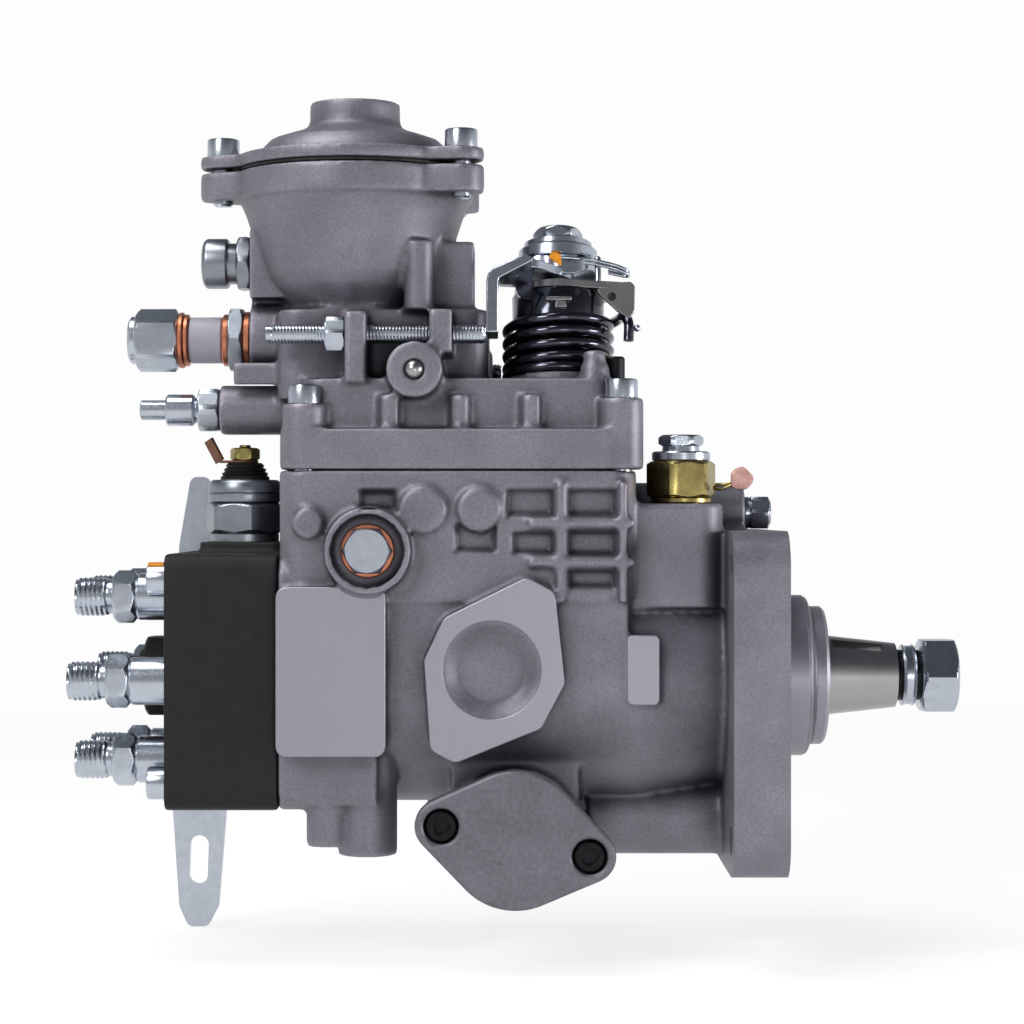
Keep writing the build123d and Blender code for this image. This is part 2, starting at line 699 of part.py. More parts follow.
# ================================================================ governor cover casting
def cover_outside():
    middle = (BODY_END + COVER_END) / 2
    length = COVER_END - BODY_END
    body = prism("Z", eased(length, 2 * COVER_HALF_Y, 10), BODY_TOP, COVER_BAND_TOP, middle, 0)
    deck = eased(length - 10, 2 * COVER_HALF_Y - 12, 9)
    body += prism("Z", deck, COVER_BAND_TOP, COVER_DECK, middle, 0, taper=5)
    upper = eased(COVER_BLOCK_END - COVER_BLOCK_START, COVER_BLOCK_WIDTH, 8)
    middle = (COVER_BLOCK_START + COVER_BLOCK_END) / 2
    body += prism("Z", upper, COVER_DECK - 6, COVER_BLOCK_TOP, middle, COVER_BLOCK_Y)
    body -= on_throttle(peg("Z", THROTTLE_SEAT_R, 0, 20))
    body += on_throttle(peg("Z", THROTTLE_SEAT_R - 1, -6, 0))
    for x, y, seat in COVER_SCREW_POINTS:
        body += peg("Z", 6.8, BODY_TOP, seat, x, y, HEAD_SIDES)
    for x, radius in COVER_PILLARS:
        body += peg("Z", radius, COVER_BAND_TOP, COVER_DECK - 5, x, COVER_PILLAR_Y)
    return body


def compensator_bowl():
    """Bowl cast on top of the cover: neck, bulged wall and lobed flange."""
    bowl = stack("Z", BOWL_WALL, COMP_X, 0)
    bowl += prism("Z", lobed_flange(), COMP_FLANGE_BOTTOM, COMP_PARTING, COMP_X, 0)
    bowl += block((BOOST_SEAT_X, COMP_X - 12), (-10, 10), (BOOST_Z - 11.4, BOOST_Z + 9.6))
    bowl += peg("Z", BOWL_POST_R, COVER_BLOCK_TOP - 1, BOWL_POST_TOP, *BOWL_POST, HEAD_SIDES)
    return bowl + block(*BOWL_WEB_XY, (COVER_BLOCK_TOP - 1, BOWL_POST_TOP + 0.7))


def cover_bosses():
    body = peg("X", RETURN_BOSS_R, RETURN_FACE, -140, 0, RETURN_Z)
    body += block(*SEAL_TAB)
    body += peg("X", FULL_LOAD_BOSS_R, FULL_LOAD_FACE, -138, FULL_LOAD_Y, FULL_LOAD_Z)
    body += peg("Y", PLUG_BOSS_R, PLUG_BOSS_FACE_Y, -18, PLUG_BOSS_X, PLUG_BOSS_Z)
    for x, z in MAX_SCREW_LUGS:
        body += block(x, (SPEED_SCREW_Y - 7, -18), z)
    idle_lug = (IDLE_SCREW_Y - 6, IDLE_SCREW_Y + 6)
    body += block((COVER_BLOCK_END - 2, COVER_BLOCK_END + 1), idle_lug, (89, 101))
    body += peg("Z", 4.5, COVER_BAND_TOP, 95, -56.0, -26.5, HEAD_SIDES)
    body += peg("Z", 3.4, 95, 99.6, -56.0, -26.5, HEAD_SIDES)
    body += on_throttle(peg("Z", THROTTLE_BOSS_R, -8, THROTTLE_BOSS_TOP))
    return body


def cover_inside():
    cavity = eased(COVER_CAVITY_FRONT - COVER_CAVITY_BACK, 2 * COVER_CAVITY_HALF_Y, 4)
    middle = (COVER_CAVITY_FRONT + COVER_CAVITY_BACK) / 2
    cut = prism("Z", cavity, BODY_TOP, COVER_CAVITY_TOP, middle, 0)
    cut += on_throttle(rod("Z", THROTTLE_SHAFT_R + RUN, -12, THROTTLE_BOSS_TOP))
    step = COMP_FLOOR + 10
    cut += peg("Z", COMP_BORE_R, step, COMP_PARTING, COMP_X, 0)
    cut += peg("Z", COMP_SPRING_ROOM_R, COMP_FLOOR, step, COMP_X, 0)
    cut += rod("Z", STEM_R + RUN, 95, COMP_FLOOR, COMP_X, 0)
    cut += peg("X", RETURN_THREAD_R, RETURN_FACE, -148, 0, RETURN_Z)
    cut += peg("X", FULL_LOAD_R, FULL_LOAD_FACE, -142, FULL_LOAD_Y, FULL_LOAD_Z)
    for x, z in MAX_SCREW_LUGS:
        cut += peg("X", M6_R, *x, SPEED_SCREW_Y, MAX_SCREW_Z)
    idle_start = COVER_BLOCK_END - 14
    cut += peg("X", M6_R, idle_start, COVER_BLOCK_END + 1, IDLE_SCREW_Y, IDLE_SCREW_Z)
    cut += peg("X", BOOST_SHANK_R, BOOST_SEAT_X, COMP_X - 17, 0, BOOST_Z)
    cut += peg("Z", 1.5, BOOST_Z, 141, COMP_X - 20, 0)
    cut += peg("Y", 3, PLUG_BOSS_FACE_Y, PLUG_BOSS_FACE_Y + 5, PLUG_BOSS_X, PLUG_BOSS_Z)
    cut += peg("Y", 1, *SEAL_TAB[1], -163.5, 93.4, 6)
    for x, y, seat in COVER_SCREW_POINTS:
        cut += peg("Z", M6_R, BODY_TOP, seat, x, y)
        cut += peg("Z", COVER_COUNTERBORE_R, seat, COVER_DECK + 1, x, y, HEAD_SIDES)
    for x, y in LID_SCREW_POINTS:
        cut += peg("Z", M6_R, COMP_FLANGE_BOTTOM, COMP_PARTING, x, y)
    return cut


def governor_cover():
    return cover_outside() + compensator_bowl() + cover_bosses() - cover_inside()


def compensator_lid():
    plate = prism("Z", lobed_flange(), LID_BOTTOM, LID_TOP, COMP_X, 0)
    dome = [(LID_BOTTOM, 30), (LID_TOP, 30), *LID_DOME, (KNOB_BASE, KNOB_R), (KNOB_TOP, KNOB_R)]
    lid = plate + stack("Z", dome, COMP_X, 0)
    lid -= peg("Z", COMP_BORE_R, LID_BOTTOM, LID_TOP + 1.5, COMP_X, 0)
    lid -= peg("Z", 7, LID_BOTTOM, KNOB_TOP - 6, COMP_X, 0)
    for x, y in LID_SCREW_POINTS:
        lid -= peg("Z", M6_R, LID_BOTTOM, LID_TOP, x, y)
    return lid


# ================================================================ fasteners and fittings
def cover_screws():
    end = BODY_TOP - COVER_SCREW_DEPTH + 1
    return group(*[cap_screw("Z", seat, end, x, y) for x, y, seat in COVER_SCREW_POINTS])


def lid_screws():
    end = COMP_FLANGE_BOTTOM - 1.5
    return group(*[cap_screw("Z", LID_TOP, end, x, y) for x, y in LID_SCREW_POINTS])


def head_screws():
    end = BODY_END + HEAD_SCREW_DEPTH - 1
    screws = [cap_screw("X", HEAD_END, end, y, z, HEAD_SCREW_R) for y, z in HEAD_SCREW_POINTS]
    at = (BRACKET_SCREW_X, BRACKET_SCREW_Z)
    return group(*screws, cap_screw("Y", BRACKET_Y + BRACKET_T, BRACKET_Y - 10, *at))


def timing_screws():
    screws = []
    for side in (-1, 1):
        for x, z in TIMING_EARS:
            seat = side * TIMING_SCREW_SEAT_Y
            end = side * (TIMING_FACE_Y - TIMING_SCREW_DEPTH + 1)
            at = (TIMING_X + x, TIMING_Z + z)
            screws.append(cap_screw("Y", seat, end, *at, TIMING_SCREW_R, TIMING_HEAD_H))
    return group(*screws)


def timing_covers():
    covers = []
    for side in (-1, 1):
        low, high = sorted((side * TIMING_FACE_Y, side * TIMING_COVER_FACE))
        cover = prism("Y", timing_cover_outline(), low, high, TIMING_X, TIMING_Z)
        seat_low, seat_high = sorted((side * TIMING_SCREW_SEAT_Y, side * TIMING_COVER_FACE))
        for x, z in TIMING_EARS:
            at = (TIMING_X + x, TIMING_Z + z)
            cover -= peg("Y", TIMING_SCREW_R, low, high, *at)
            cover -= peg("Y", TIMING_COUNTERBORE_R, seat_low, seat_high, *at, HEAD_SIDES)
        covers.append(cover)
    return group(*covers)


def boost_fitting():
    seat = BOOST_SEAT_X
    hex_end = seat - 4.4
    dome = hex_end - 2.8
    tip = dome - 8.1
    fitting = prism("X", hexagon(16), hex_end, seat, 0, BOOST_Z)
    fitting += peg("X", BOOST_SHANK_R, seat, seat + 12, 0, BOOST_Z)
    fitting += peg("X", 6.4, dome, hex_end, 0, BOOST_Z, HEAD_SIDES)
    fitting += stack("X", [(tip, 5.6), (tip + 2.3, 7.8), (dome, 7.8)], 0, BOOST_Z)
    return fitting - peg("X", 2, tip, seat + 12, 0, BOOST_Z)


def return_bolt():
    hex_end = RETURN_STACK[0] - 13.4
    head = prism("X", hexagon(17), hex_end, RETURN_STACK[0], 0, RETURN_Z)
    head += peg("X", 7.4, hex_end - 2.2, hex_end, 0, RETURN_Z, HEAD_SIDES)
    return head + peg("X", RETURN_BOLT_R, RETURN_STACK[0], -158, 0, RETURN_Z)


def return_sleeve():
    return ring("X", 7.2, RETURN_BOLT_R, RETURN_STACK[2], RETURN_STACK[3], 0, RETURN_Z)


def return_adapter():
    body = prism("X", hexagon(19), RETURN_STACK[4], RETURN_STACK[5], 0, RETURN_Z)
    body += peg("X", RETURN_THREAD_R, RETURN_STACK[5], -150, 0, RETURN_Z)
    return body - peg("X", RETURN_BOLT_R, RETURN_STACK[4], -156, 0, RETURN_Z)


def copper_washers():
    faces = RETURN_STACK
    places = (
        (WASHER_R + 0.6, RETURN_BOLT_R, faces[0], faces[1]),
        (WASHER_R, RETURN_BOLT_R, faces[1], faces[2]),
        (WASHER_R, RETURN_BOLT_R, faces[3], faces[4]),
        (WASHER_R + 0.8, RETURN_THREAD_R, faces[5], RETURN_FACE),
    )
    washers = [ring("X", outer, bore, start, end, 0, RETURN_Z) for outer, bore, start, end in places]
    plug_seat = ring("Y", 9.6, SIDE_PLUG_R, PLUG_SEAT_Y, SIDE_FACE_Y + 3, SIDE_PLUG_X, SIDE_PLUG_Z)
    return group(*washers, plug_seat)


def side_plug():
    head = hexagon(SIDE_PLUG_AF, 30)
    plug = prism("Y", head, PLUG_SEAT_Y - SIDE_PLUG_HEAD_H, PLUG_SEAT_Y, SIDE_PLUG_X, SIDE_PLUG_Z)
    return plug + peg("Y", SIDE_PLUG_R, PLUG_SEAT_Y, CHAMBER_LOW_Y, SIDE_PLUG_X, SIDE_PLUG_Z)


def full_load_screw():
    tip = FULL_LOAD_COLLAR[0]
    screw = peg("X", FULL_LOAD_R, tip, -144, FULL_LOAD_Y, FULL_LOAD_Z)
    screw += peg("X", 3.1, tip - 8.1, tip, FULL_LOAD_Y, FULL_LOAD_Z)
    collar = peg("X", 4.9, *FULL_LOAD_COLLAR, FULL_LOAD_Y, FULL_LOAD_Z, HEAD_SIDES)
    return group(screw, collar - peg("X", FULL_LOAD_R, *FULL_LOAD_COLLAR, FULL_LOAD_Y, FULL_LOAD_Z))


def speed_screws():
    return group(
        peg("X", M6_R, *MAX_SCREW_X, SPEED_SCREW_Y, MAX_SCREW_Z),
        peg("X", M6_R, COVER_BLOCK_END - 13, -84.4, IDLE_SCREW_Y, IDLE_SCREW_Z),
    )


def locknut(across, hole, seat, height, y, z):
    """Hexagon nut on an adjusting screw along X, in front of its seat."""
    return prism("X", hexagon(across) - disc(hole), seat - height, seat, y, z)


def adjusting_locknuts():
    return group(
        locknut(13, FULL_LOAD_R, FULL_LOAD_FACE, 6.5, FULL_LOAD_Y, FULL_LOAD_Z),
        locknut(SPEED_NUT_AF, M6_R, MAX_SCREW_LUGS[0][0][0], SPEED_NUT_H, SPEED_SCREW_Y, MAX_SCREW_Z),
    )


def inlet_adapter():
    hex_start = STEP_TOP + 1.6
    body = peg("Z", 9.6, STEP_TOP, hex_start, INLET_X, INLET_Y)
    body += prism("Z", hexagon(INLET_HEX_AF, 10), hex_start, INLET_TOP, INLET_X, INLET_Y)
    body += peg("Z", INLET_SHANK_R, STEP_TOP - 13, STEP_TOP, INLET_X, INLET_Y)
    return body - peg("Z", INLET_BORE_R, STEP_TOP - 13, INLET_TOP, INLET_X, INLET_Y)


def inlet_cap():
    rim = INLET_TOP + 2.9
    neck = rim + 1.6
    cap = peg("Z", 8.9, INLET_TOP, rim, INLET_X, INLET_Y)
    cap += peg("Z", 5.6, rim, neck, INLET_X, INLET_Y)
    cap += prism("Z", hexagon(12), neck, neck + 3.5, INLET_X, INLET_Y)
    return cap + peg("Z", INLET_BORE_R, 50, INLET_TOP, INLET_X, INLET_Y)


def wire_seal():
    wire_r = 0.45
    path = Polyline((-19.6, -18, 58.2), (-16, -20, 59.4), (-13, -21, 59.4))
    start = Plane(origin=path @ 0, z_dir=path % 0)
    wire = sweep(start * RegularPolygon(wire_r, 6), path=path, transition=Transition.RIGHT)
    lead = Pos(-11.2, -21.4, 61) * Rot(90, 0, 20) * extrude(disc(3.6), amount=1.5, both=True)
    return group(wire - lead, lead)


def rear_bracket():
    plate = outline(*BRACKET_CORNERS)
    plate = fillet(plate.vertices(), 2.5)
    plate -= Pos(*BRACKET_SLOT) * SlotOverall(16, 6, rotation=88)
    plate -= Pos(BRACKET_SCREW_X, BRACKET_SCREW_Z) * disc(M6_R)
    return prism("Y", plate, BRACKET_Y, BRACKET_Y + BRACKET_T)


# ================================================================ distributor head
def distributor_head():
    square = eased(2 * HEAD_HALF, 2 * HEAD_HALF, HEAD_CORNER_R)
    head = prism("X", square, HEAD_END, BODY_END)
    head += rod("X", CAM_BORE_R, BODY_END, BODY_END + HEAD_SPIGOT_LENGTH)
    head += peg("X", HEAD_BARREL_R, BODY_END, HEAD_BARREL_START)
    head += prism("Z", eased(26, 26, 3), HEAD_HALF - 1, HEAD_PAD_TOP, SOLENOID_X, 0)
    head -= rod("X", PLUNGER_R + RUN, HEAD_END, HEAD_BARREL_START)
    head -= peg("X", CENTRE_PLUG_R, HEAD_END, HEAD_END + CENTRE_PLUG_DEPTH)
    head -= peg("Z", SOLENOID_SHANK_R, 16, HEAD_PAD_TOP, SOLENOID_X, 0)
    for y, z in OUTLET_POINTS:
        head -= peg("X", OUTLET_SHANK_R, HEAD_END, HEAD_END + OUTLET_SHANK_DEPTH, y, z, HEAD_SIDES)
        head -= peg("X", VALVE_R + RUN, HEAD_END, HEAD_END + VALVE_DEPTH, y, z)
    for y, z in HEAD_SCREW_POINTS:
        head -= peg("X", HEAD_SCREW_R, HEAD_END, BODY_END, y, z)
    return head - peg("Y", M6_R, BRACKET_Y - 11, BRACKET_Y, BRACKET_SCREW_X, BRACKET_SCREW_Z)


def centre_plug():
    plug = prism("X", hexagon(CENTRE_PLUG_AF), HEAD_END - 10, HEAD_END)
    plug += peg("X", 8.2, HEAD_END - 12, HEAD_END - 10)
    plug += prism("X", hexagon(12), HEAD_END - 15.8, HEAD_END - 12)
    return plug + peg("X", CENTRE_PLUG_R, HEAD_END, HEAD_END + CENTRE_PLUG_DEPTH - 0.5)


def outlet_holders():
    collar_end = HEAD_END - OUTLET_COLLAR
    hex_end = collar_end - OUTLET_HEX_LENGTH
    tip = hex_end - OUTLET_THREAD_LENGTH - 1.5
    shank_end = HEAD_END + OUTLET_SHANK_DEPTH
    holders = []
    for y, z in OUTLET_POINTS:
        holder = peg("X", OUTLET_SHANK_R, collar_end, shank_end, y, z, HEAD_SIDES)
        holder += prism("X", hexagon(OUTLET_HEX_AF, 30), hex_end, collar_end, y, z)
        holder += rod("X", OUTLET_THREAD_R, tip, hex_end, y, z)
        holder -= peg("X", VALVE_R + RUN, collar_end, shank_end, y, z)
        holders.append(holder - peg("X", 1.6, tip, collar_end, y, z, 6))
    return group(*holders)


def delivery_valves():
    foot = HEAD_END + VALVE_DEPTH
    valves = []
    for y, z in OUTLET_POINTS:
        valve = peg("X", VALVE_R, foot - 10, foot - FREE, y, z)
        valves.append(valve + peg("X", 2, foot - 13, foot - 10, y, z, 6))
    return group(*valves)


# ================================================================ solenoid
def solenoid_body():
    body = peg("Z", 10.6, HEAD_PAD_TOP, SOLENOID_HEX_Z, SOLENOID_X, 0)
    body += prism("Z", hexagon(SOLENOID_HEX_AF), SOLENOID_HEX_Z, SOLENOID_HEX_TOP, SOLENOID_X, 0)
    case = [(SOLENOID_HEX_TOP, SOLENOID_R), (SOLENOID_TOP - 1.3, SOLENOID_R), (SOLENOID_TOP, 10.2)]
    body += stack("Z", case, SOLENOID_X, 0)
    body += peg("Z", SOLENOID_SHANK_R, 24, HEAD_PAD_TOP, SOLENOID_X, 0)
    return body - rod("Z", ARMATURE_R + RUN, 24, 40, SOLENOID_X, 0)


def solenoid_insulator():
    rim = INSULATOR_R
    cap = [(SOLENOID_TOP, rim), (INSULATOR_TOP - 1, rim), (INSULATOR_TOP, rim - 1.2)]
    cap = stack("Z", cap, SOLENOID_X, 0)
    return cap - peg("Z", STUD_R, SOLENOID_TOP, INSULATOR_TOP, SOLENOID_X, 0)


def solenoid_terminal():
    stud = peg("Z", STUD_R, SOLENOID_TOP, INSULATOR_TOP + 5.6, SOLENOID_X, 0)
    blade_top = INSULATOR_TOP + BLADE_T
    nut = prism("Z", hexagon(8) - disc(STUD_R), blade_top, blade_top + 3.9, SOLENOID_X, 0)
    flat = hull((0, 0, 4.2), (-8, 0, 2.4)) - disc(STUD_R)
    blade = prism("Z", flat, INSULATOR_TOP, blade_top, SOLENOID_X, 0)
    fold = Pos(SOLENOID_X - 10.0, 0, INSULATOR_TOP + 4.1) * Rot(0, -30, 0) * Box(BLADE_T, 4.6, 7.4)
    return group(stud, nut, blade + fold)


def solenoid_armature():
    body = rod("Z", ARMATURE_R, 18.5, 38, SOLENOID_X, 0)
    return body + stack("Z", [(16.3, 2.4), (18.5, 4.6)], SOLENOID_X, 0)


# ================================================================ drive shaft group
def drive_shaft():
    shaft = turned(
        "X",
        [
            (TAPER_END, 0),
            (TAPER_END, TAPER_R),
            (NOSE_END, SHAFT_R),
            (JOURNAL_START, SHAFT_R),
            (JOURNAL_START, DRIVE_JOURNAL_R),
            (CLAW_FLANGE_START, DRIVE_JOURNAL_R),
            (CLAW_FLANGE_START, 0),
        ],
    )
    shaft += peg("X", SHAFT_THREAD_R, TAPER_END, SHAFT_NUT_END - 1.4)
    shaft += peg("X", CLAW_FLANGE_R, CROSS_FRONT + FREE, CLAW_FLANGE_START)
    for side in (-1, 1):
        near, far = sorted((side * CLAW_INNER, side * CLAW_OUTER))
        shaft += block((CROSS_BACK, CROSS_FRONT + 2), (near, far), (-CLAW_HALF_W, CLAW_HALF_W))
    half = KEY_WIDTH / 2
    keyway = block(KEYWAY_X, (-half, half), (KEYWAY_FLOOR_R, SHAFT_R + 1))
    return shaft - Rot(KEYWAY_TURN, 0, 0) * keyway


def shaft_nut():
    nut_face = hexagon(SHAFT_NUT_AF, 30) - disc(SHAFT_THREAD_R)
    nut = prism("X", nut_face, SHAFT_NUT_START, SHAFT_NUT_END - 1.2)
    washer_end = SHAFT_NUT_START - 3.4
    washer = ring("X", LOCK_WASHER_R, SHAFT_THREAD_R, TAPER_END, washer_end)
    spring = ring("X", LOCK_WASHER_R + 0.6, SHAFT_THREAD_R, washer_end, SHAFT_NUT_START)
    return group(nut, washer, spring)


def shaft_bush():
    return sleeve("X", SHAFT_R + BUSH_WALL, SHAFT_R + RUN, PUMP_BORE_START, NOSE_END - SEAL_DEPTH)


def shaft_seal():
    return sleeve("X", SEAL_R, SHAFT_R + RUN, NOSE_END - SEAL_DEPTH, NOSE_END - 0.5)


def drive_gear():
    toward_cage = degrees(atan2(GOVERNOR_Z, GOVERNOR_Y))
    wheel = gear_outline(DRIVE_TEETH, toward_cage) - Circle(DRIVE_JOURNAL_R)
    return prism("X", wheel, GEAR_START - GEAR_WIDTH, GEAR_START)


def supply_pump_ring():
    race = disc(PUMP_BORE_R) - Pos(RING_ECCENTRIC, 0) * Circle(RING_BORE_R)
    plate = ring("X", PUMP_BORE_R, 11.5, CAM_BORE_START, -36.2)
    return group(prism("X", race, -36, PUMP_BORE_START), plate)


def pump_rotor():
    end = PUMP_BORE_START - 0.1
    start = end - PUMP_WIDTH
    rotor_r = RING_BORE_R - RING_ECCENTRIC - 1.0
    vane_r = rotor_r + 0.7
    half = VANE_T / 2
    rotor = sleeve("X", rotor_r, SHAFT_R, start, end)
    vanes = []
    for index in range(VANE_COUNT):
        turn = Rot(360 / VANE_COUNT * index, 0, 0)
        rotor -= turn * block((start, end), (VANE_ROOT_R - 0.5, vane_r), (-half, half))
        vanes.append(turn * block((start, end), (VANE_ROOT_R, vane_r), (-half, half)))
    return group(rotor, *vanes)


# ================================================================ cam group
def cam_disc():
    cam = peg("X", CAM_R, CAM_BACK_X, CAM_FACE_X)
    lobes = Part()
    sunk = CAM_FACE_X + CAM_LIFT - CAM_LOBE_R
    for y, z in around(CAM_LOBES, 1.0):
        place = Plane(origin=(sunk, y * 14, z * 14), z_dir=(0, y, z), x_dir=(1, 0, 0))
        lobes += extrude(place * RegularPolygon(CAM_LOBE_R, 40), amount=12)
    lobes &= ring("X", CAM_R, 14, CAM_BACK_X + 1, CAM_FACE_X + CAM_LIFT)
    cam += lobes
    cam += peg("X", 9, CAM_FACE_X, CROSS_BACK - 3)
    for side in (-1, 1):
        near, far = sorted((side * CLAW_INNER, side * CLAW_OUTER))
        cam += block((CROSS_BACK - 4, CROSS_FRONT), (-CLAW_HALF_W, CLAW_HALF_W), (near, far))
    cam += peg("X", CLAW_OUTER, CROSS_BACK - 4, CROSS_BACK - 0.4) & block(
        (CROSS_BACK - 4, CROSS_BACK - 0.4), (-CLAW_HALF_W, CLAW_HALF_W), (-CLAW_OUTER, CLAW_OUTER)
    )
    spider = disc(CLAW_OUTER)
    gap = Pos(CLAW_INNER + 5, 0) * Rectangle(10.6, 2 * CLAW_HALF_W + FREE)
    for index in range(4):
        spider -= Rot(0, 0, 90 * index) * gap
    return group(cam, prism("X", spider, CROSS_BACK + 0.1, CROSS_FRONT - 0.1))


def plunger():
    foot = peg("X", 7.5, BRIDGE_FRONT - BRIDGE_T - 3, CAM_BACK_X)
    return foot + rod("X", PLUNGER_R, HEAD_END + CENTRE_PLUG_DEPTH + 2, BRIDGE_FRONT - BRIDGE_T - 3)


def plunger_springs():
    back = BODY_END + HEAD_SPIGOT_LENGTH
    front = BRIDGE_FRONT - BRIDGE_T
    bridge_face = hull((-PLUNGER_SPRING_Y, 0, 7), (PLUNGER_SPRING_Y, 0, 7)) - disc(7.5 + 2 * FREE)
    bridge = prism("X", bridge_face, front, BRIDGE_FRONT)
    springs = []
    for side in (-1, 1):
        wire = 1.0
        turns = 5
        pitch = (front - back - 2 * wire) / turns
        spring = coil(PLUNGER_SPRING_R, wire, pitch, turns)
        springs.append(Pos(back + wire, side * PLUNGER_SPRING_Y, 0) * Rot(0, 90, 0) * spring)
    return group(bridge, *springs)


def spill_ring():
    spill = sleeve("X", SPILL_R, PLUNGER_R + RUN, LEVER_X - SPILL_W / 2, LEVER_X + SPILL_W / 2)
    return spill - peg("Z", LEVER_PEG_R + FREE, LEVER_PEG_END - FREE, SPILL_R + 1, LEVER_X, 0)


# ================================================================ roller ring and timing
def roller_ring():
    carrier_face = Circle(CAM_BORE_R - RUN) - disc(ROLLER_RING_BORE_R)
    carrier = prism("X", carrier_face, ROLLER_RING_BACK, ROLLER_RING_FRONT)
    rollers = []
    for angle in ROLLER_ANGLES:
        out = (0, cos(radians(angle)), sin(radians(angle)))
        centre = Plane(origin=(ROLLER_X, 0, 0), z_dir=out, x_dir=(1, 0, 0))
        inner = centre.offset(ROLLER_INNER_R)
        pocket = centre.offset(ROLLER_INNER_R - 0.4)
        length = ROLLER_OUTER_R - ROLLER_INNER_R
        rollers.append(extrude(inner * disc(ROLLER_R, HEAD_SIDES), amount=length))
        carrier -= extrude(pocket * disc(ROLLER_R + 0.1, HEAD_SIDES), amount=length + 0.8)
    carrier -= peg("Z", TIMING_PIN_R, -CAM_BORE_R, -19, TIMING_X, 0)
    pin = peg("Z", TIMING_PIN_R, TIMING_Z - 2, -19, TIMING_X, 0)
    return group(carrier, pin, *rollers)


def timing_piston():
    piston = rod("Y", TIMING_BORE_R - RUN, -TIMING_PISTON_HALF, TIMING_PISTON_HALF, TIMING_X, TIMING_Z)
    half = TIMING_PIN_R + 0.5
    slot = (-half - TIMING_TILT_ROOM, half + FREE)
    piston -= block((TIMING_X - half, TIMING_X + half), slot, (TIMING_Z - 4, TIMING_Z + TIMING_BORE_R))
    return piston - peg("Y", 8, TIMING_PISTON_HALF - 9, TIMING_PISTON_HALF, TIMING_X, TIMING_Z)


def timing_spring():
    wire = 1.2
    start = TIMING_PISTON_HALF - 9
    turns = 7
    pitch = (TIMING_FACE_Y - start - 2 * wire) / turns
    return Pos(TIMING_X, start + wire, TIMING_Z) * Rot(-90, 0, 0) * coil(6.2, wire, pitch, turns)


# ================================================================ governor
def governor_shaft():
    shaft = rod("X", GOVERNOR_SHAFT_R, GOVERNOR_SHAFT_END, -1.2)
    nut = prism("X", hexagon(10) - Circle(GOVERNOR_SHAFT_R), -6.4, 0.2)
    washer = sleeve("X", 5.0, GOVERNOR_SHAFT_R, GOVERNOR_BOSS_END, -6.4)
    return group(*[on_governor(shape) for shape in (shaft, nut, washer)])


def weight_cage():
    toward = degrees(atan2(GOVERNOR_Z, GOVERNOR_Y)) + 180
    back = GEAR_START - GEAR_WIDTH
    cage = prism("X", gear_outline(CAGE_TEETH, toward + 180 / CAGE_TEETH), back, GEAR_START)
    plate_back = back - 3
    cage += peg("X", WEIGHT_OUTER_R + 1.5, plate_back, back, 0, 0, 16)
    ear_start = WEIGHT_PIVOT_X - 3
    inner = WEIGHT_WIDTH / 2 + FREE
    ears = Part()
    for side in (-1, 1):
        near, far = sorted((side * inner, side * (inner + 1.8)))
        ears += block((ear_start, plate_back), (WEIGHT_PIVOT_R - 2.6, WEIGHT_OUTER_R + 1), (near, far))
    ears += peg("Z", WEIGHT_PIN_R, -inner - 0.5, inner + 0.5, WEIGHT_PIVOT_X, WEIGHT_PIVOT_R)
    for index in range(WEIGHT_COUNT):
        cage += Rot(90 * index, 0, 0) * ears
    return on_governor(cage - rod("X", GOVERNOR_SHAFT_R + RUN, ear_start, GEAR_START))


def flyweight(index):
    """L-shaped weight: a heavy outer limb and a toe that reaches in to the sleeve collar."""
    side = WEIGHT_WIDTH / 2
    profile = outline(
        (WEIGHT_PIVOT_X + 2.6, WEIGHT_OUTER_R),
        (WEIGHT_PIVOT_X + 2.6, WEIGHT_INNER_R),
        (WEIGHT_TOE_X + 3.4, WEIGHT_TOE_R),
        (WEIGHT_TOE_X, WEIGHT_TOE_R),
        (WEIGHT_TOE_X, WEIGHT_INNER_R),
        (WEIGHT_END, WEIGHT_INNER_R),
        (WEIGHT_END, WEIGHT_OUTER_R),
    )
    weight = prism("Z", profile, -side, side)
    weight -= rod("Z", WEIGHT_PIN_R + RUN, -side, side, WEIGHT_PIVOT_X, WEIGHT_PIVOT_R)
    return on_governor(Rot(90 * index, 0, 0) * weight)


def governor_sleeve():
    start = WEIGHT_TOE_X - FREE
    collar = sleeve("X", COLLAR_R, GOVERNOR_SHAFT_R + RUN, start - COLLAR_T, start)
    return on_governor(collar + sleeve("X", SLEEVE_R, GOVERNOR_SHAFT_R + RUN, SLEEVE_END, start))


def governor_lever():
    """Start and tensioning lever with its pivot pin and the peg that shifts the spill ring."""
    width = (GOVERNOR_Y - 9, GOVERNOR_Y + 9)
    lever = block((LEVER_X - LEVER_T / 2, LEVER_X + LEVER_T / 2), width, (LEVER_PIVOT_Z, LEVER_TOP))
    lever -= peg("X", GOVERNOR_SHAFT_R + 1.4, LEVER_X - 3, LEVER_X + 3, GOVERNOR_Y, GOVERNOR_Z)
    lever += peg("Y", 5, *width, LEVER_X, LEVER_PIVOT_Z)
    lever += rod("Y", LEVER_PIN_R, CHAMBER_LOW_Y - 3.7, CHAMBER_HIGH_Y + 3.7, LEVER_X, LEVER_PIVOT_Z)
    return lever + peg("Z", LEVER_PEG_R, LEVER_PEG_END, LEVER_PIVOT_Z - 2, LEVER_X, 0)


def governor_spring():
    wire = 0.9
    front = -76.0
    back = LEVER_X + LEVER_T / 2
    turns = 8
    pitch = (front - back - 2 * wire) / turns
    return Pos(back + wire, 3, 78) * Rot(0, 90, 0) * coil(3.2, wire, pitch, turns)


# ================================================================ compensator
def diaphragm():
    return sleeve("Z", COMP_FLANGE_R - 0.6, STEM_R + FREE, COMP_PARTING, LID_BOTTOM, COMP_X, 0)


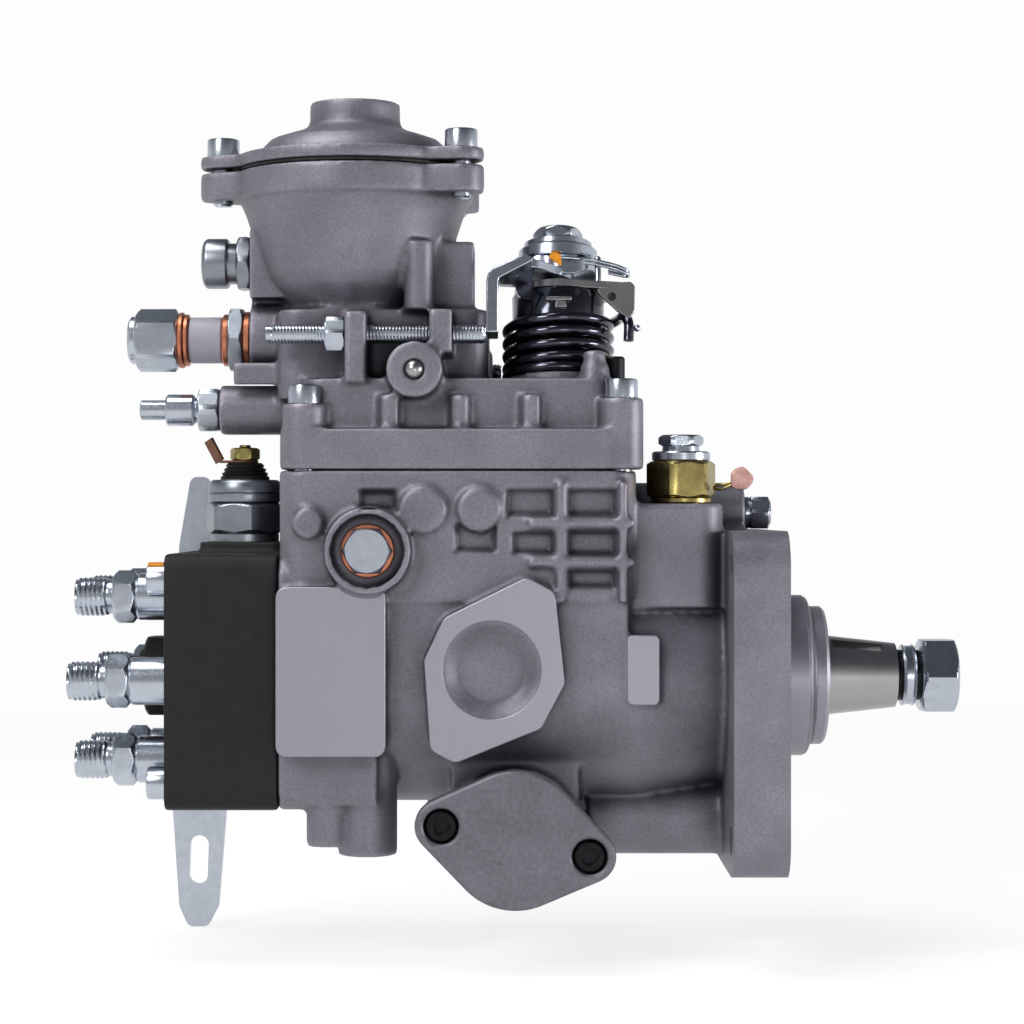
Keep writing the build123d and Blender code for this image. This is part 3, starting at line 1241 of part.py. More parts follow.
def compensator_spring():
    wire = 1.3
    top = COMP_PARTING - 2.2
    turns = 4
    pitch = (top - COMP_FLOOR - 2 * wire) / turns
    return Pos(COMP_X, 0, COMP_FLOOR + wire) * coil(13.5, wire, pitch, turns)


def compensator_stem():
    stem = rod("Z", STEM_R, 118, LID_BOTTOM + 5, COMP_X, 0)
    stem += stack("Z", [(101, 2.2), (104, 2.2), (116, STEM_R), (118, STEM_R)], COMP_X, 0)
    stem += peg("Z", 19, COMP_PARTING - 1.9, COMP_PARTING - FREE, COMP_X, 0, 16)
    stem += peg("Z", 19, LID_BOTTOM + FREE, LID_BOTTOM + 1.6, COMP_X, 0, 16)
    return stem + prism("Z", hexagon(10), LID_BOTTOM + 1.6, LID_BOTTOM + 5, COMP_X, 0)


# ================================================================ throttle
def throttle_shaft():
    shaft = rod("Z", THROTTLE_SHAFT_R, ECCENTRIC_TOP, THROTTLE_NUT_TOP - 1)
    shaft += peg("Z", 8.5, ECCENTRIC_TOP - ECCENTRIC_T, ECCENTRIC_TOP)
    pin = peg("Z", 2, ECCENTRIC_PIN_END, ECCENTRIC_TOP - ECCENTRIC_T, 0, -ECCENTRIC)
    return on_throttle(shaft + pin)


def shaft_bore(low, high):
    """Bore for the throttle shaft, in the shaft's own place."""
    return rod("Z", THROTTLE_SHAFT_R, low, high)


def throttle_lever():
    """Plate and hub on the shaft, with an arm that turns down beside the maximum-speed screw."""
    top = LEVER_BOTTOM + LEVER_PLATE_T
    tab_x = THROTTLE_TAB_X - THROTTLE_X
    tab_y = SPEED_SCREW_Y - THROTTLE_Y
    arm = hull((0, 0, HUB_R), (tab_x + 5, tab_y + 4, 5))
    plate = prism("Z", arm, LEVER_BOTTOM, top)
    plate += peg("Z", HUB_R, LEVER_BOTTOM, HUB_TOP)
    half = THROTTLE_TAB_T / 2
    plate += block((tab_x - half, tab_x + half), (tab_y - 5, tab_y + 5), (THROTTLE_TAB_END, top))
    plate += block((tab_x, tab_x + 6), (tab_y - 1, tab_y + 5), (LEVER_BOTTOM, top))
    return on_throttle(plate - shaft_bore(LEVER_BOTTOM, HUB_TOP))


def spring_cup():
    """Plate over the spring with a skirt round its front, and an arm for the spring's upper leg."""
    cup = peg("Z", CUP_R, CUP_TOP - CUP_WALL, CUP_TOP)
    skirt = ring("Z", CUP_R, CUP_R - CUP_WALL, CUP_BOTTOM, CUP_TOP)
    cup += skirt & block((-CUP_R, CUP_R), (-CUP_R, CUP_WALL), (CUP_BOTTOM, CUP_TOP))
    cup += block((8, HOOK_X - 1.5), (-5, 5), (CUP_TOP - CUP_WALL, CUP_TOP))
    cup += Pos(HOOK_X, 0, CUP_TOP - 6.6) * Rot(0, -24, 0) * Box(CUP_WALL, 10, 14)
    return on_throttle(cup - shaft_bore(CUP_BOTTOM, CUP_TOP))


def torsion_spring():
    wire = coil(SPRING_COIL_R, SPRING_WIRE_R, SPRING_PITCH, SPRING_TURNS, steps=12, sides=6)
    return on_throttle(Pos(0, 0, SPRING_START) * wire)


def throttle_nut():
    washer_top = HUB_TOP + THROTTLE_WASHER_T
    rim = THROTTLE_WASHER_R
    washer = stack("Z", [(HUB_TOP, rim), (HUB_TOP + 1.4, rim), (washer_top, rim - 3)])
    nut = prism("Z", hexagon(THROTTLE_NUT_AF), washer_top, THROTTLE_NUT_TOP)
    washer -= shaft_bore(HUB_TOP, washer_top)
    return group(on_throttle(washer), on_throttle(nut - shaft_bore(washer_top, THROTTLE_NUT_TOP)))


# ================================================================ write the pieces
NODES = {
    "pump_housing": pump_housing,
    "governor_cover": governor_cover,
    "compensator_lid": compensator_lid,
    "cover_screws": cover_screws,
    "lid_screws": lid_screws,
    "head_screws": head_screws,
    "timing_screws": timing_screws,
    "timing_covers": timing_covers,
    "boost_fitting": boost_fitting,
    "return_bolt": return_bolt,
    "return_sleeve": return_sleeve,
    "return_adapter": return_adapter,
    "copper_washers": copper_washers,
    "side_plug": side_plug,
    "full_load_screw": full_load_screw,
    "speed_screws": speed_screws,
    "adjusting_locknuts": adjusting_locknuts,
    "inlet_adapter": inlet_adapter,
    "inlet_cap": inlet_cap,
    "wire_seal": wire_seal,
    "rear_bracket": rear_bracket,
    "distributor_head": distributor_head,
    "centre_plug": centre_plug,
    "outlet_holders": outlet_holders,
    "delivery_valves": delivery_valves,
    "solenoid_body": solenoid_body,
    "solenoid_insulator": solenoid_insulator,
    "solenoid_terminal": solenoid_terminal,
    "solenoid_armature": solenoid_armature,
    "drive_shaft": drive_shaft,
    "shaft_nut": shaft_nut,
    "shaft_bush": shaft_bush,
    "shaft_seal": shaft_seal,
    "drive_gear": drive_gear,
    "supply_pump_ring": supply_pump_ring,
    "pump_rotor": pump_rotor,
    "cam_disc": cam_disc,
    "plunger": plunger,
    "plunger_springs": plunger_springs,
    "spill_ring": spill_ring,
    "roller_ring": roller_ring,
    "timing_piston": timing_piston,
    "timing_spring": timing_spring,
    "governor_shaft": governor_shaft,
    "weight_cage": weight_cage,
    "governor_sleeve": governor_sleeve,
    "governor_lever": governor_lever,
    "governor_spring": governor_spring,
    "diaphragm": diaphragm,
    "compensator_spring": compensator_spring,
    "compensator_stem": compensator_stem,
    "throttle_shaft": throttle_shaft,
    "throttle_lever": throttle_lever,
    "spring_cup": spring_cup,
    "torsion_spring": torsion_spring,
    "throttle_nut": throttle_nut,
}

for node, make in NODES.items():
    export_step(make(), f"parts/{node}.step")
for index in range(WEIGHT_COUNT):
    export_step(flyweight(index), f"parts/flyweight_{index + 1}.step")
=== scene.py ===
"""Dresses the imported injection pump: castings, machined pads, plated fittings, springs, lights and camera.

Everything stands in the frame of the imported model: origin at the pilot's centre, +X out of the
drive end, +Z up. Shape functions work in millimetres and scale once, when a mesh is made.
"""

import math

import bmesh
import bpy
from mathutils import Matrix, Vector


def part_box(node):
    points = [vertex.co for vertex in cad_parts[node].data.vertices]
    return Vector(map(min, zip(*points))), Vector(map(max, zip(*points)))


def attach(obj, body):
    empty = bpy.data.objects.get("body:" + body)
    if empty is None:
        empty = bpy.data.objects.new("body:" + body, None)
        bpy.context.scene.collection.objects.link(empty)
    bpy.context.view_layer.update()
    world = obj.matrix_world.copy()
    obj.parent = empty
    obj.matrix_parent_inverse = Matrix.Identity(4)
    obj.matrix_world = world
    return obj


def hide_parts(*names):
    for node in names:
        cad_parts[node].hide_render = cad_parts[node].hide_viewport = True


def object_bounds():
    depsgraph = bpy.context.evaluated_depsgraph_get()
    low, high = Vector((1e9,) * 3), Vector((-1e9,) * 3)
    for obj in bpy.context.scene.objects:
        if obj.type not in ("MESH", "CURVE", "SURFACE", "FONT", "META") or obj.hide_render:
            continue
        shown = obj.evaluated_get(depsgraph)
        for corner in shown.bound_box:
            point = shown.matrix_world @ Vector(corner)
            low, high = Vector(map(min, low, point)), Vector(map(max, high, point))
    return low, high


bl_info = {
    "name": "Distributor Injection Pump",
    "version": (1, 0, 0),
    "blender": (4, 5, 0),
    "location": "View3D > Sidebar > Injection Pump",
    "description": "Castings, fittings, springs, finishes and studio for a distributor injection pump",
    "category": "Object",
}

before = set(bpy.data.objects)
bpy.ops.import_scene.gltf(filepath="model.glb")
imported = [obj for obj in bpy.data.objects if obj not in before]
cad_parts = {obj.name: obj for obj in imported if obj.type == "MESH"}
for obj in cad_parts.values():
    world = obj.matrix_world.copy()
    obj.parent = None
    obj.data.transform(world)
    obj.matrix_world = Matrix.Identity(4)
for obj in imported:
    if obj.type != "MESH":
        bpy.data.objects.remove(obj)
CAD_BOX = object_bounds()
MM = 0.001
SIDES = 48  # facets round a turned piece
AXES = {"X": (0, 1, 2), "Y": (1, 0, 2), "Z": (2, 0, 1)}  # index of an axis, then of its two others

# sockets of a Mix node that share a name, by their index
FACTOR = 0
COLOUR_A, COLOUR_B, COLOUR_RESULT = 6, 7, 2
FLOAT_A, FLOAT_B, FLOAT_RESULT = 2, 3, 0

# places and sizes in mm that several pieces share
BODY_X = (-150.9, -43.6)  # housing and cover, from the head to the drive end
NEAR_WALL_Y = -38.5  # what lies nearer than this is the housing's ribbed wall
PAD_Y = (-44.0, -42.6)  # face and foot of the two large pads
COMPENSATOR_X = -130.0  # upright axis of the bowl and lid
RIM_R = 37.0
LOBES = (182, -35, 40, 110)  # degrees round the rim, one for each lid screw
LOBE_CIRCLE_R, LOBE_R = 41.0, 7.2
TIMING_X, TIMING_Z = -80.0, -45.5  # axis of the timing cylinder
TIMING_R, TIMING_EAR_R = 20.5, 7.8
TIMING_EARS = ((-21.8, 4.3), (21.8, -4.6))  # from that axis
SIDE_PLUG = (-123.7, 39.4)  # x, z
DRILLING = (-110.1, 93.3)  # x, z
FULL_LOAD = (-5.0, 82.5)  # y, z
SPEED_SCREW = (-28.0, 104.5)  # y, z
IDLE_SCREW = (12.0, 94.8)  # y, z
COVER_SCREW_SEATS = ((-143.1, 83.4), (-48.3, 85.2))  # x, z, on both sides
COVER_SCREW_Y = 33.5
NEAR_BOSSES = ((-107.6, 51.5, 7.1), (-90.8, 51.8, 6.5), (-141.6, 47.6, 4.7))  # x, z, radius on the housing
POCKETS = (  # x from, x to, z from, z to, between the housing's ribs
    (-127.0, -115.1, 51.2, 58.0), (-83.1, -68.1, 49.2, 58.3), (-64.6, -49.6, 49.2, 58.3),
    (-98.2, -85.2, 38.7, 48.2), (-81.3, -68.1, 38.0, 45.6), (-64.6, -49.6, 37.6, 45.8),
    (-64.6, -49.6, 28.0, 34.2),
)
POCKET_DEPTH, POCKET_SLOPE = 2.7, 1.5
DISH_X, DISH_Z, DISH_R = -86.9, 4.2, 14.4  # in the shield pad
DISH_DEPTH, DISH_SLOPE = 2.6, 5.5
FLANGE_CORNERS = ((-46, -45.7), (46, -45.7), (46, 34.3), (-46, 34.3))  # y, z of the mounting holes
FLANGE_CORNER_R = 11
CAMERA_X, CAMERA_Z = -81.0, 50.9  # it looks along +Y and stands level


# ------------------------------------------------------------------ properties
def linear(code):
    """Linear RGBA of an sRGB hex code."""
    channels = []
    for start in (1, 3, 5):
        value = int(code[start:start + 2], 16) / 255
        channels.append(value / 12.92 if value <= 0.04045 else ((value + 0.055) / 1.055) ** 2.4)
    return (*channels, 1.0)


def colour(name, description, code):
    """Colour setting from an sRGB hex code."""
    return bpy.props.FloatVectorProperty(
        name=name, description=description, subtype="COLOR", size=4, min=0.0, max=1.0, default=linear(code)
    )


def distance(name, description, millimetres):
    """Length setting, given in mm and kept in metres."""
    return bpy.props.FloatProperty(
        name=name, description=description, default=millimetres * MM, min=0.0, unit="LENGTH", precision=5
    )


class PumpSizes(bpy.types.PropertyGroup):
    """Sizes that can be set before the pieces are made"""

    voxel: distance("Casting voxel", "Size of the cubes that the castings are rebuilt from", 0.9)
    skin: distance("Casting skin", "How far a casting is drawn in, so that machined faces stand proud", 0.12)
    edge: distance("Edge break", "Width of the broken edge on machined pieces", 0.35)
    thread_pitch: distance("Thread pitch", "Distance between two crests of the outlets' threads", 1.5)
    screw_pitch: distance("Screw pitch", "Distance between two crests of the adjusting screws", 1.0)
    spring_wire: distance("Spring wire", "Radius of the throttle spring's wire", 1.6)
    camera_distance: distance("Camera distance", "From the lens to the shaft's axis", 800.0)


class PumpColours(bpy.types.PropertyGroup):
    """Base colours of the finishes"""

    cast: colour("Cast aluminium", "Blasted casting skin", "#7b7881")
    machined: colour("Machined aluminium", "Milled faces", "#95929c")
    oxide: colour("Black oxide", "Distributor head", "#1e1b1d")
    zinc: colour("Zinc plate", "Bright zinc on screws and fittings", "#b4bac4")
    steel: colour("Ground steel", "Drive shaft and bare steel", "#a3a0a1")
    chromate: colour("Yellow chromate", "Inlet adapter and terminal nut", "#9a8c58")
    tarnish: colour("Tarnished brass", "Solenoid's terminal blade", "#6e4a38")
    copper: colour("Annealed copper", "Sealing washers", "#b8775c")
    # also the dark steel of the timing screws and stop pin, and the painted shadow round the shaft's thread
    spring: colour("Phosphated steel", "Throttle spring and its cup", "#17171b")
    nylon: colour("Grey nylon", "Sleeve on the return bolt", "#98949d")
    # also the painted shade in the retaining plate's holes
    rubber: colour("Black rubber", "Seals and insulator", "#131214")
    lead: colour("Seal tag", "Soft tag on the inlet's wire", "#c79a92")
    paint: colour("Paint mark", "Assembler's orange dab", "#d98a1c")
    backdrop: colour("Backdrop", "Floor and background", "#fdfdfd")


# ------------------------------------------------------------------ materials
def add(tree, kind, settings=None, links=None, stops=()):
    """Adds a node, sets its properties, sockets and colour stops, and links outputs into its inputs."""
    node = tree.nodes.new(kind)
    for key, value in (settings or {}).items():
        if isinstance(key, int) or key in node.inputs:
            node.inputs[key].default_value = value
        else:
            setattr(node, key, value)
    for key, output in (links or {}).items():
        tree.links.new(output, node.inputs[key])
    # a new ramp has two stops, which the first two entries set; the rest are put in between
    for index, (position, tone) in enumerate(stops):
        elements = node.color_ramp.elements
        stop = elements[index] if index < 2 else elements.new(position)
        stop.position, stop.color = position, tone
    return node


def empty_tree(owner):
    """The node tree of a new material or world, with nothing in it."""
    owner.use_nodes = True
    owner.node_tree.nodes.clear()
    return owner.node_tree


def start_material(name, metallic, roughness):
    """A new material with its tree and its Principled shader."""
    material = bpy.data.materials.new(name)
    tree = empty_tree(material)
    shader = add(tree, "ShaderNodeBsdfPrincipled", {"Metallic": metallic, "Roughness": roughness})
    add(tree, "ShaderNodeOutputMaterial", links={"Surface": shader.outputs["BSDF"]})
    return material, tree, shader


def shade(base, factor):
    """A colour made lighter or darker by a factor."""
    return (*[min(1.0, channel * factor) for channel in base[:3]], 1.0)


def cast_aluminium(name, base, grain=0.8, with_edge_wear_and_painted_light=True):
    """Aluminium, die cast and then blasted: a fine even grain, with painted shade in hollows. Its edges get
    wear and a painted highlight, its tight corners painted shade, where the mesh is fine enough to tell how
    sharply it turns."""
    material, tree, shader = start_material(name, 0.6, 0.5)
    place = add(tree, "ShaderNodeTexCoord").outputs["Object"]
    # blasting grit of 0.35 mm is under a pixel, so it is drawn at the coarser size given by grain, in mm
    grit = add(tree, "ShaderNodeTexNoise", {"Scale": 1 / (grain * MM), "Detail": 3.0, "Roughness": 0.65},
               {"Vector": place})
    # clouds 16 mm across: uneven blasting and handling
    cloud = add(tree, "ShaderNodeTexNoise", {"Scale": 1 / (16 * MM), "Detail": 5.0}, {"Vector": place})
    tone = add(tree, "ShaderNodeValToRGB", links={"Fac": cloud.outputs["Fac"]},
               stops=((0.32, shade(base, 0.84)), (0.7, shade(base, 1.12))))
    speck = add(tree, "ShaderNodeValToRGB", links={"Fac": grit.outputs["Fac"]},
                stops=((0.35, (0.8, 0.8, 0.8, 1)), (0.64, (1.08, 1.08, 1.09, 1))))
    # edges get wear and a painted highlight, tight corners painted shade; both come from how sharply the mesh
    # turns
    sharpness = add(tree, "ShaderNodeNewGeometry").outputs["Pointiness"]
    edge_wear_and_painted_light = add(tree, "ShaderNodeValToRGB", links={"Fac": sharpness},
               stops=((0.43, (0.42, 0.41, 0.43, 1)), (0.57, (1.5, 1.5, 1.52, 1)), (0.49, (0.96, 0.96, 0.96, 1)),
                      (0.52, (1.02, 1.02, 1.02, 1))))
    # painted shade: hollows up to 12 mm deep see less of the room, so they are drawn darker
    shelter = add(tree, "ShaderNodeAmbientOcclusion", {"Distance": 12 * MM, "samples": 8})
    hollow = add(tree, "ShaderNodeValToRGB", links={"Fac": shelter.outputs["AO"]},
                 stops=((0.3, (0.3, 0.29, 0.31, 1)), (0.92, (1.03, 1.03, 1.03, 1))))
    skin = tone.outputs["Color"]
    for layer in (speck, edge_wear_and_painted_light, hollow) if with_edge_wear_and_painted_light else (speck, hollow):
        blend = add(tree, "ShaderNodeMix", {"data_type": "RGBA", "blend_type": "MULTIPLY", FACTOR: 1.0},
                    {COLOUR_A: skin, COLOUR_B: layer.outputs["Color"]})
        skin = blend.outputs[COLOUR_RESULT]
    tree.links.new(skin, shader.inputs["Base Color"])
    rough = add(tree, "ShaderNodeMapRange", {"To Min": 0.38, "To Max": 0.6}, {"Value": grit.outputs["Fac"]})
    tree.links.new(rough.outputs["Result"], shader.inputs["Roughness"])
    bump = add(tree, "ShaderNodeBump", {"Strength": 0.45, "Distance": 0.09 * MM},
               {"Height": grit.outputs["Fac"]})
    tree.links.new(bump.outputs["Normal"], shader.inputs["Normal"])
    return material


def cut_metal(name, base, metallic, roughness, spacing, contrast, depth=0.01):
    """Metal that a tool has cut or ground: tool marks, spacing mm apart, follow one another along X."""
    material, tree, shader = start_material(name, metallic, roughness)
    place = add(tree, "ShaderNodeTexCoord").outputs["Object"]
    # across X each mark runs on for 25 times its width
    run = add(tree, "ShaderNodeMapping", {"Scale": [share / (spacing * MM) for share in (1.0, 0.04, 0.04)]},
              {"Vector": place})
    lines = add(tree, "ShaderNodeTexNoise", {"Scale": 1.0, "Detail": 3.0}, {"Vector": run.outputs["Vector"]})
    cloud = add(tree, "ShaderNodeTexNoise", {"Scale": 1 / (9 * MM), "Detail": 3.0}, {"Vector": place})
    # handling blurs the marks with clouds 9 mm across
    both = add(tree, "ShaderNodeMix", {"data_type": "FLOAT", FACTOR: 0.4},
               {FLOAT_A: lines.outputs["Fac"], FLOAT_B: cloud.outputs["Fac"]})
    tone = add(tree, "ShaderNodeValToRGB", links={"Fac": both.outputs[FLOAT_RESULT]},
               stops=((0.3, shade(base, 1 - contrast)), (0.7, shade(base, 1 + contrast))))
    tree.links.new(tone.outputs["Color"], shader.inputs["Base Color"])
    rough = add(tree, "ShaderNodeMapRange", {"To Min": roughness * 0.8, "To Max": roughness * 1.25},
                {"Value": both.outputs[FLOAT_RESULT]})
    tree.links.new(rough.outputs["Result"], shader.inputs["Roughness"])
    bump = add(tree, "ShaderNodeBump", {"Strength": 0.3, "Distance": depth * MM},
               {"Height": lines.outputs["Fac"]})
    tree.links.new(bump.outputs["Normal"], shader.inputs["Normal"])
    return material


def coated(name, base, metallic, roughness, grain, contrast, tint=None, shine=0.5):
    """A plated, oxidised or moulded skin: an even coat with faint blotches, grain mm across."""
    material, tree, shader = start_material(name, metallic, roughness)
    shader.inputs["Specular IOR Level"].default_value = shine
    place = add(tree, "ShaderNodeTexCoord").outputs["Object"]
    blotch = add(tree, "ShaderNodeTexNoise", {"Scale": 1 / (grain * MM), "Detail": 4.0}, {"Vector": place})
    fine = add(tree, "ShaderNodeTexNoise", {"Scale": 1 / (0.5 * MM), "Detail": 2.0}, {"Vector": place})
    tone = add(tree, "ShaderNodeValToRGB", links={"Fac": blotch.outputs["Fac"]},
               stops=((0.3, shade(base, 1 - contrast)), (0.7, tint or shade(base, 1 + contrast))))
    tree.links.new(tone.outputs["Color"], shader.inputs["Base Color"])
    rough = add(tree, "ShaderNodeMapRange", {"To Min": roughness * 0.75, "To Max": roughness * 1.3},
                {"Value": fine.outputs["Fac"]})
    tree.links.new(rough.outputs["Result"], shader.inputs["Roughness"])
    bump = add(tree, "ShaderNodeBump", {"Strength": 0.2, "Distance": 0.03 * MM},
               {"Height": fine.outputs["Fac"]})
    tree.links.new(bump.outputs["Normal"], shader.inputs["Normal"])
    return material


def finish(name):
    """The pump's material of that name, made the first time it is asked for."""
    if name in bpy.data.materials:
        return bpy.data.materials[name]
    tones = bpy.context.scene.pump_colours
    if name == "blasted_cast_aluminium":  # soft grey with a violet cast and a fine grain
        return cast_aluminium(name, tones.cast)
    if name == "sand_cast_aluminium":  # coarser, darker and mottled, on the timing covers
        return cast_aluminium(name, shade(tones.cast, 0.76), 1.5, with_edge_wear_and_painted_light=False)
    if name == "faced_cast_aluminium":  # flange plate, with the castings' grain and plain edges
        return cast_aluminium(name, tones.cast, with_edge_wear_and_painted_light=False)
    if name == "milled_aluminium":  # pale face with faint straight cutter marks
        return cut_metal(name, tones.machined, 0.7, 0.42, 0.4, 0.035, 0.006)
    if name == "oxide_blackened_steel":  # dull brown-black with a little dust
        return coated(name, tones.oxide, 0.0, 0.6, 5, 0.14, shine=0.25)
    if name == "zinc_plated_steel":  # cool bright plate, bluish where it turns away
        return coated(name, tones.zinc, 1.0, 0.24, 3, 0.06)
    if name == "ground_steel":  # warm grey with fine rings round the shaft
        return cut_metal(name, tones.steel, 1.0, 0.3, 0.4, 0.06)
    if name == "yellow_chromate":  # gold coat over zinc, greener where it is thick
        return coated(name, tones.chromate, 1.0, 0.25, 4, 0.12, shade(tones.chromate, 1.3))
    if name == "dark_steel_and_painted_shade":  # dark screw heads down in their holes and the stop pin; also the painted shadow round the shaft's thread
        return coated(name, tones.spring, 0.8, 0.4, 2, 0.3)
    if name == "passivated_steel":  # solenoid case: duller and darker than the plated screws
        return coated(name, shade(tones.zinc, 0.55), 1.0, 0.33, 4, 0.1)
    if name == "tarnished_brass":  # terminal blade, browned by heat
        return coated(name, tones.tarnish, 0.7, 0.45, 2, 0.3)
    if name == "annealed_copper":  # soft orange with a matt bloom
        return coated(name, tones.copper, 1.0, 0.38, 2, 0.15)
    if name == "phosphated_spring_steel":  # oiled black that keeps sharp highlights
        return coated(name, shade(tones.spring, 8.0), 0.95, 0.13, 3, 0.2)
    if name == "grey_nylon":  # waxy grey moulding
        return coated(name, tones.nylon, 0.0, 0.45, 3, 0.05)
    if name == "moulded_rubber_and_painted_hole_shade":  # dull black; also the painted shade in the retaining plate's holes
        return coated(name, tones.rubber, 0.0, 0.5, 2, 0.2, shine=0.3)
    if name == "soft_seal_alloy":  # pinkish dull tag, dented
        return coated(name, tones.lead, 0.4, 0.5, 1.5, 0.2)
    if name == "orange_paint":  # thick dab of paint pen
        return coated(name, tones.paint, 0.0, 0.35, 1, 0.15)
    raise ValueError(f"no finish is called {name}")


def paper_floor(backdrop):
    """Matt white paper. Its bounce onto the pump is that of paper; for the eye it is mostly its own white,
    with a soft shadow left."""
    material = bpy.data.materials.new("matt_paper")
    tree = empty_tree(material)
    seen = add(tree, "ShaderNodeLightPath")
    eye = add(tree, "ShaderNodeMath", {"operation": "MAXIMUM"},
              {0: seen.outputs["Is Camera Ray"], 1: seen.outputs["Is Glossy Ray"]})
    place = add(tree, "ShaderNodeTexCoord").outputs["Object"]
    reach = add(tree, "ShaderNodeVectorMath", {"operation": "LENGTH"}, {0: place})
    # the shadow is let fade out between 0.3 m and 1.1 m, so the far floor meets the backdrop without an edge
    away = add(tree, "ShaderNodeMapRange", {"From Min": 0.3, "From Max": 1.1, "To Min": 0.8, "To Max": 1.0},
               {"Value": reach.outputs["Value"]})
    left = add(tree, "ShaderNodeMapRange", {"From Min": 0.8, "From Max": 1.0, "To Min": 0.3, "To Max": 0.0},
               {"Value": away.outputs["Result"]})
    fibre = add(tree, "ShaderNodeTexNoise", {"Scale": 400.0, "Detail": 2.0})
    tone = add(tree, "ShaderNodeMix",
               {"data_type": "RGBA", COLOUR_A: shade(backdrop, 0.97), COLOUR_B: tuple(backdrop)},
               {FACTOR: fibre.outputs["Fac"]}).outputs[COLOUR_RESULT]
    faint = add(tree, "ShaderNodeMix", {"data_type": "RGBA", COLOUR_A: (0, 0, 0, 1)},
                {FACTOR: left.outputs["Result"], COLOUR_B: tone}).outputs[COLOUR_RESULT]
    seen_tone = add(tree, "ShaderNodeMix", {"data_type": "RGBA"},
                    {FACTOR: eye.outputs[0], COLOUR_A: tone, COLOUR_B: faint}).outputs[COLOUR_RESULT]
    paper = add(tree, "ShaderNodeBsdfDiffuse", links={"Color": seen_tone})
    strength = add(tree, "ShaderNodeMath", {"operation": "MULTIPLY"},
                   {0: eye.outputs[0], 1: away.outputs["Result"]})
    lift = add(tree, "ShaderNodeEmission", {"Color": tuple(backdrop)}, {"Strength": strength.outputs[0]})
    both = add(tree, "ShaderNodeAddShader", links={0: paper.outputs[0], 1: lift.outputs[0]})
    add(tree, "ShaderNodeOutputMaterial", links={"Surface": both.outputs[0]})
    return material


def studio_world(backdrop):
    """Studio with a bright band at eye height and a dim ceiling, dimmer still on the viewer's side, so that
    metal has dark and light flanks; straight behind the pump it is the backdrop's white."""
    world = bpy.data.worlds.new("studio")
    tree = empty_tree(world)
    towards = add(tree, "ShaderNodeTexCoord").outputs["Generated"]
    parts = add(tree, "ShaderNodeSeparateXYZ", links={"Vector": towards})
    lifted = add(tree, "ShaderNodeMapRange", {"From Min": -1.0, "From Max": 1.0}, {"Value": parts.outputs["Z"]})
    height = add(tree, "ShaderNodeValToRGB", links={"Fac": lifted.outputs["Result"]},
                 stops=((0.3, (0.35, 0.35, 0.36, 1)), (1.0, (0.07, 0.085, 0.1, 1)),
                        (0.47, (0.8, 0.81, 0.83, 1)), (0.6, (0.9, 0.91, 0.94, 1)),
                        (0.74, (0.2, 0.22, 0.25, 1))))
    side = add(tree, "ShaderNodeMapRange", {"From Min": -0.8, "From Max": 0.5, "To Min": 0.5, "To Max": 1.0},
               {"Value": parts.outputs["Y"]})
    room = add(tree, "ShaderNodeBackground",
               links={"Color": height.outputs["Color"], "Strength": side.outputs["Result"]})
    white = add(tree, "ShaderNodeBackground", {"Color": tuple(backdrop), "Strength": 1.0})
    seen = add(tree, "ShaderNodeLightPath")
    both = add(tree, "ShaderNodeMixShader",
               links={0: seen.outputs["Is Camera Ray"], 1: room.outputs[0], 2: white.outputs[0]})
    add(tree, "ShaderNodeOutputWorld", links={"Surface": both.outputs[0]})
    return world


# ------------------------------------------------------------------ mesh makers
def point(axis, along, u, v):
    """A point from its place along an axis and across it, in mm."""
    at = [0.0, 0.0, 0.0]
    main, first, second = AXES[axis]
    at[main], at[first], at[second] = along, u, v
    return Vector(at)


def hex_reach(across, angle, turn=0.0):
    """Distance from a hexagon's centre to its side, at an angle; turn 0 puts a corner at angle 0."""
    sector = (angle - turn + math.pi / 6) % (math.pi / 3) - math.pi / 6
    return across / 2 / math.cos(math.pi / 6 - abs(sector))


def fan(start, sweep, steps):
    """Angles in radians from start over a sweep, both in degrees."""
    return [math.radians(start + sweep * step / steps) for step in range(steps + 1)]


def on_circle(angles, radius, u=0.0, v=0.0):
    """Points (u, v) at those angles on a circle."""
    return [(u + radius * math.cos(angle), v + radius * math.sin(angle)) for angle in angles]


def bridge(bm, low, high):
    """Band of faces between two rings of as many points each."""
    for index in range(len(low)):
        after = (index + 1) % len(low)
        bm.faces.new((low[index], low[after], high[after], high[index]))


def turned(bm, axis, profile, u=0.0, v=0.0, wave=None, turn=0.0, loop=False, sides=SIDES, place=None):
    """Turns a profile about an axis. Its entries are (along, radius) or (along, radius, flats), and flats
    clips the ring to a hexagon of that size. wave(angle, along, radius) gives another radius. A loop closes
    the profile on itself, as in a washer. place moves the whole turned form, in mm."""
    rings = []
    for entry in profile:
        along, radius = entry[:2]
        ring = []
        for index in range(sides):
            angle = 2 * math.pi * index / sides
            reach = radius
            if len(entry) == 3:
                reach = min(reach, hex_reach(entry[2], angle, turn))
            if wave:
                reach = wave(angle, along, reach)
            spot = point(axis, along, u + reach * math.cos(angle), v + reach * math.sin(angle))
            ring.append(bm.verts.new((place @ spot if place else spot) * MM))
        rings.append(ring)
    pairs = list(zip(rings, rings[1:]))
    if loop:
        pairs.append((rings[-1], rings[0]))
    for low, high in pairs:
        bridge(bm, low, high)
    if not loop:
        bm.faces.new(rings[0])
        bm.faces.new(rings[-1])


def nut_profile(start, end, flats, bore, corner=0.07):
    """Hexagon with both ends turned down to a cone, and a bore through it. corner is the cone's height as a
    share of the flats."""
    face = flats * 0.48  # just inside the flats, where the cone starts
    tip = flats * 0.58  # just past the corners, where it ends
    rise = flats * corner
    steps = 5
    profile = [(start, bore)]
    for step in range(steps + 1):
        share = step / steps
        profile.append((start + rise * share, face + (tip - face) * share, flats))
    for step in range(steps, -1, -1):
        share = step / steps
        profile.append((end - rise * share, face + (tip - face) * share, flats))
    profile.append((end, bore))
    return profile


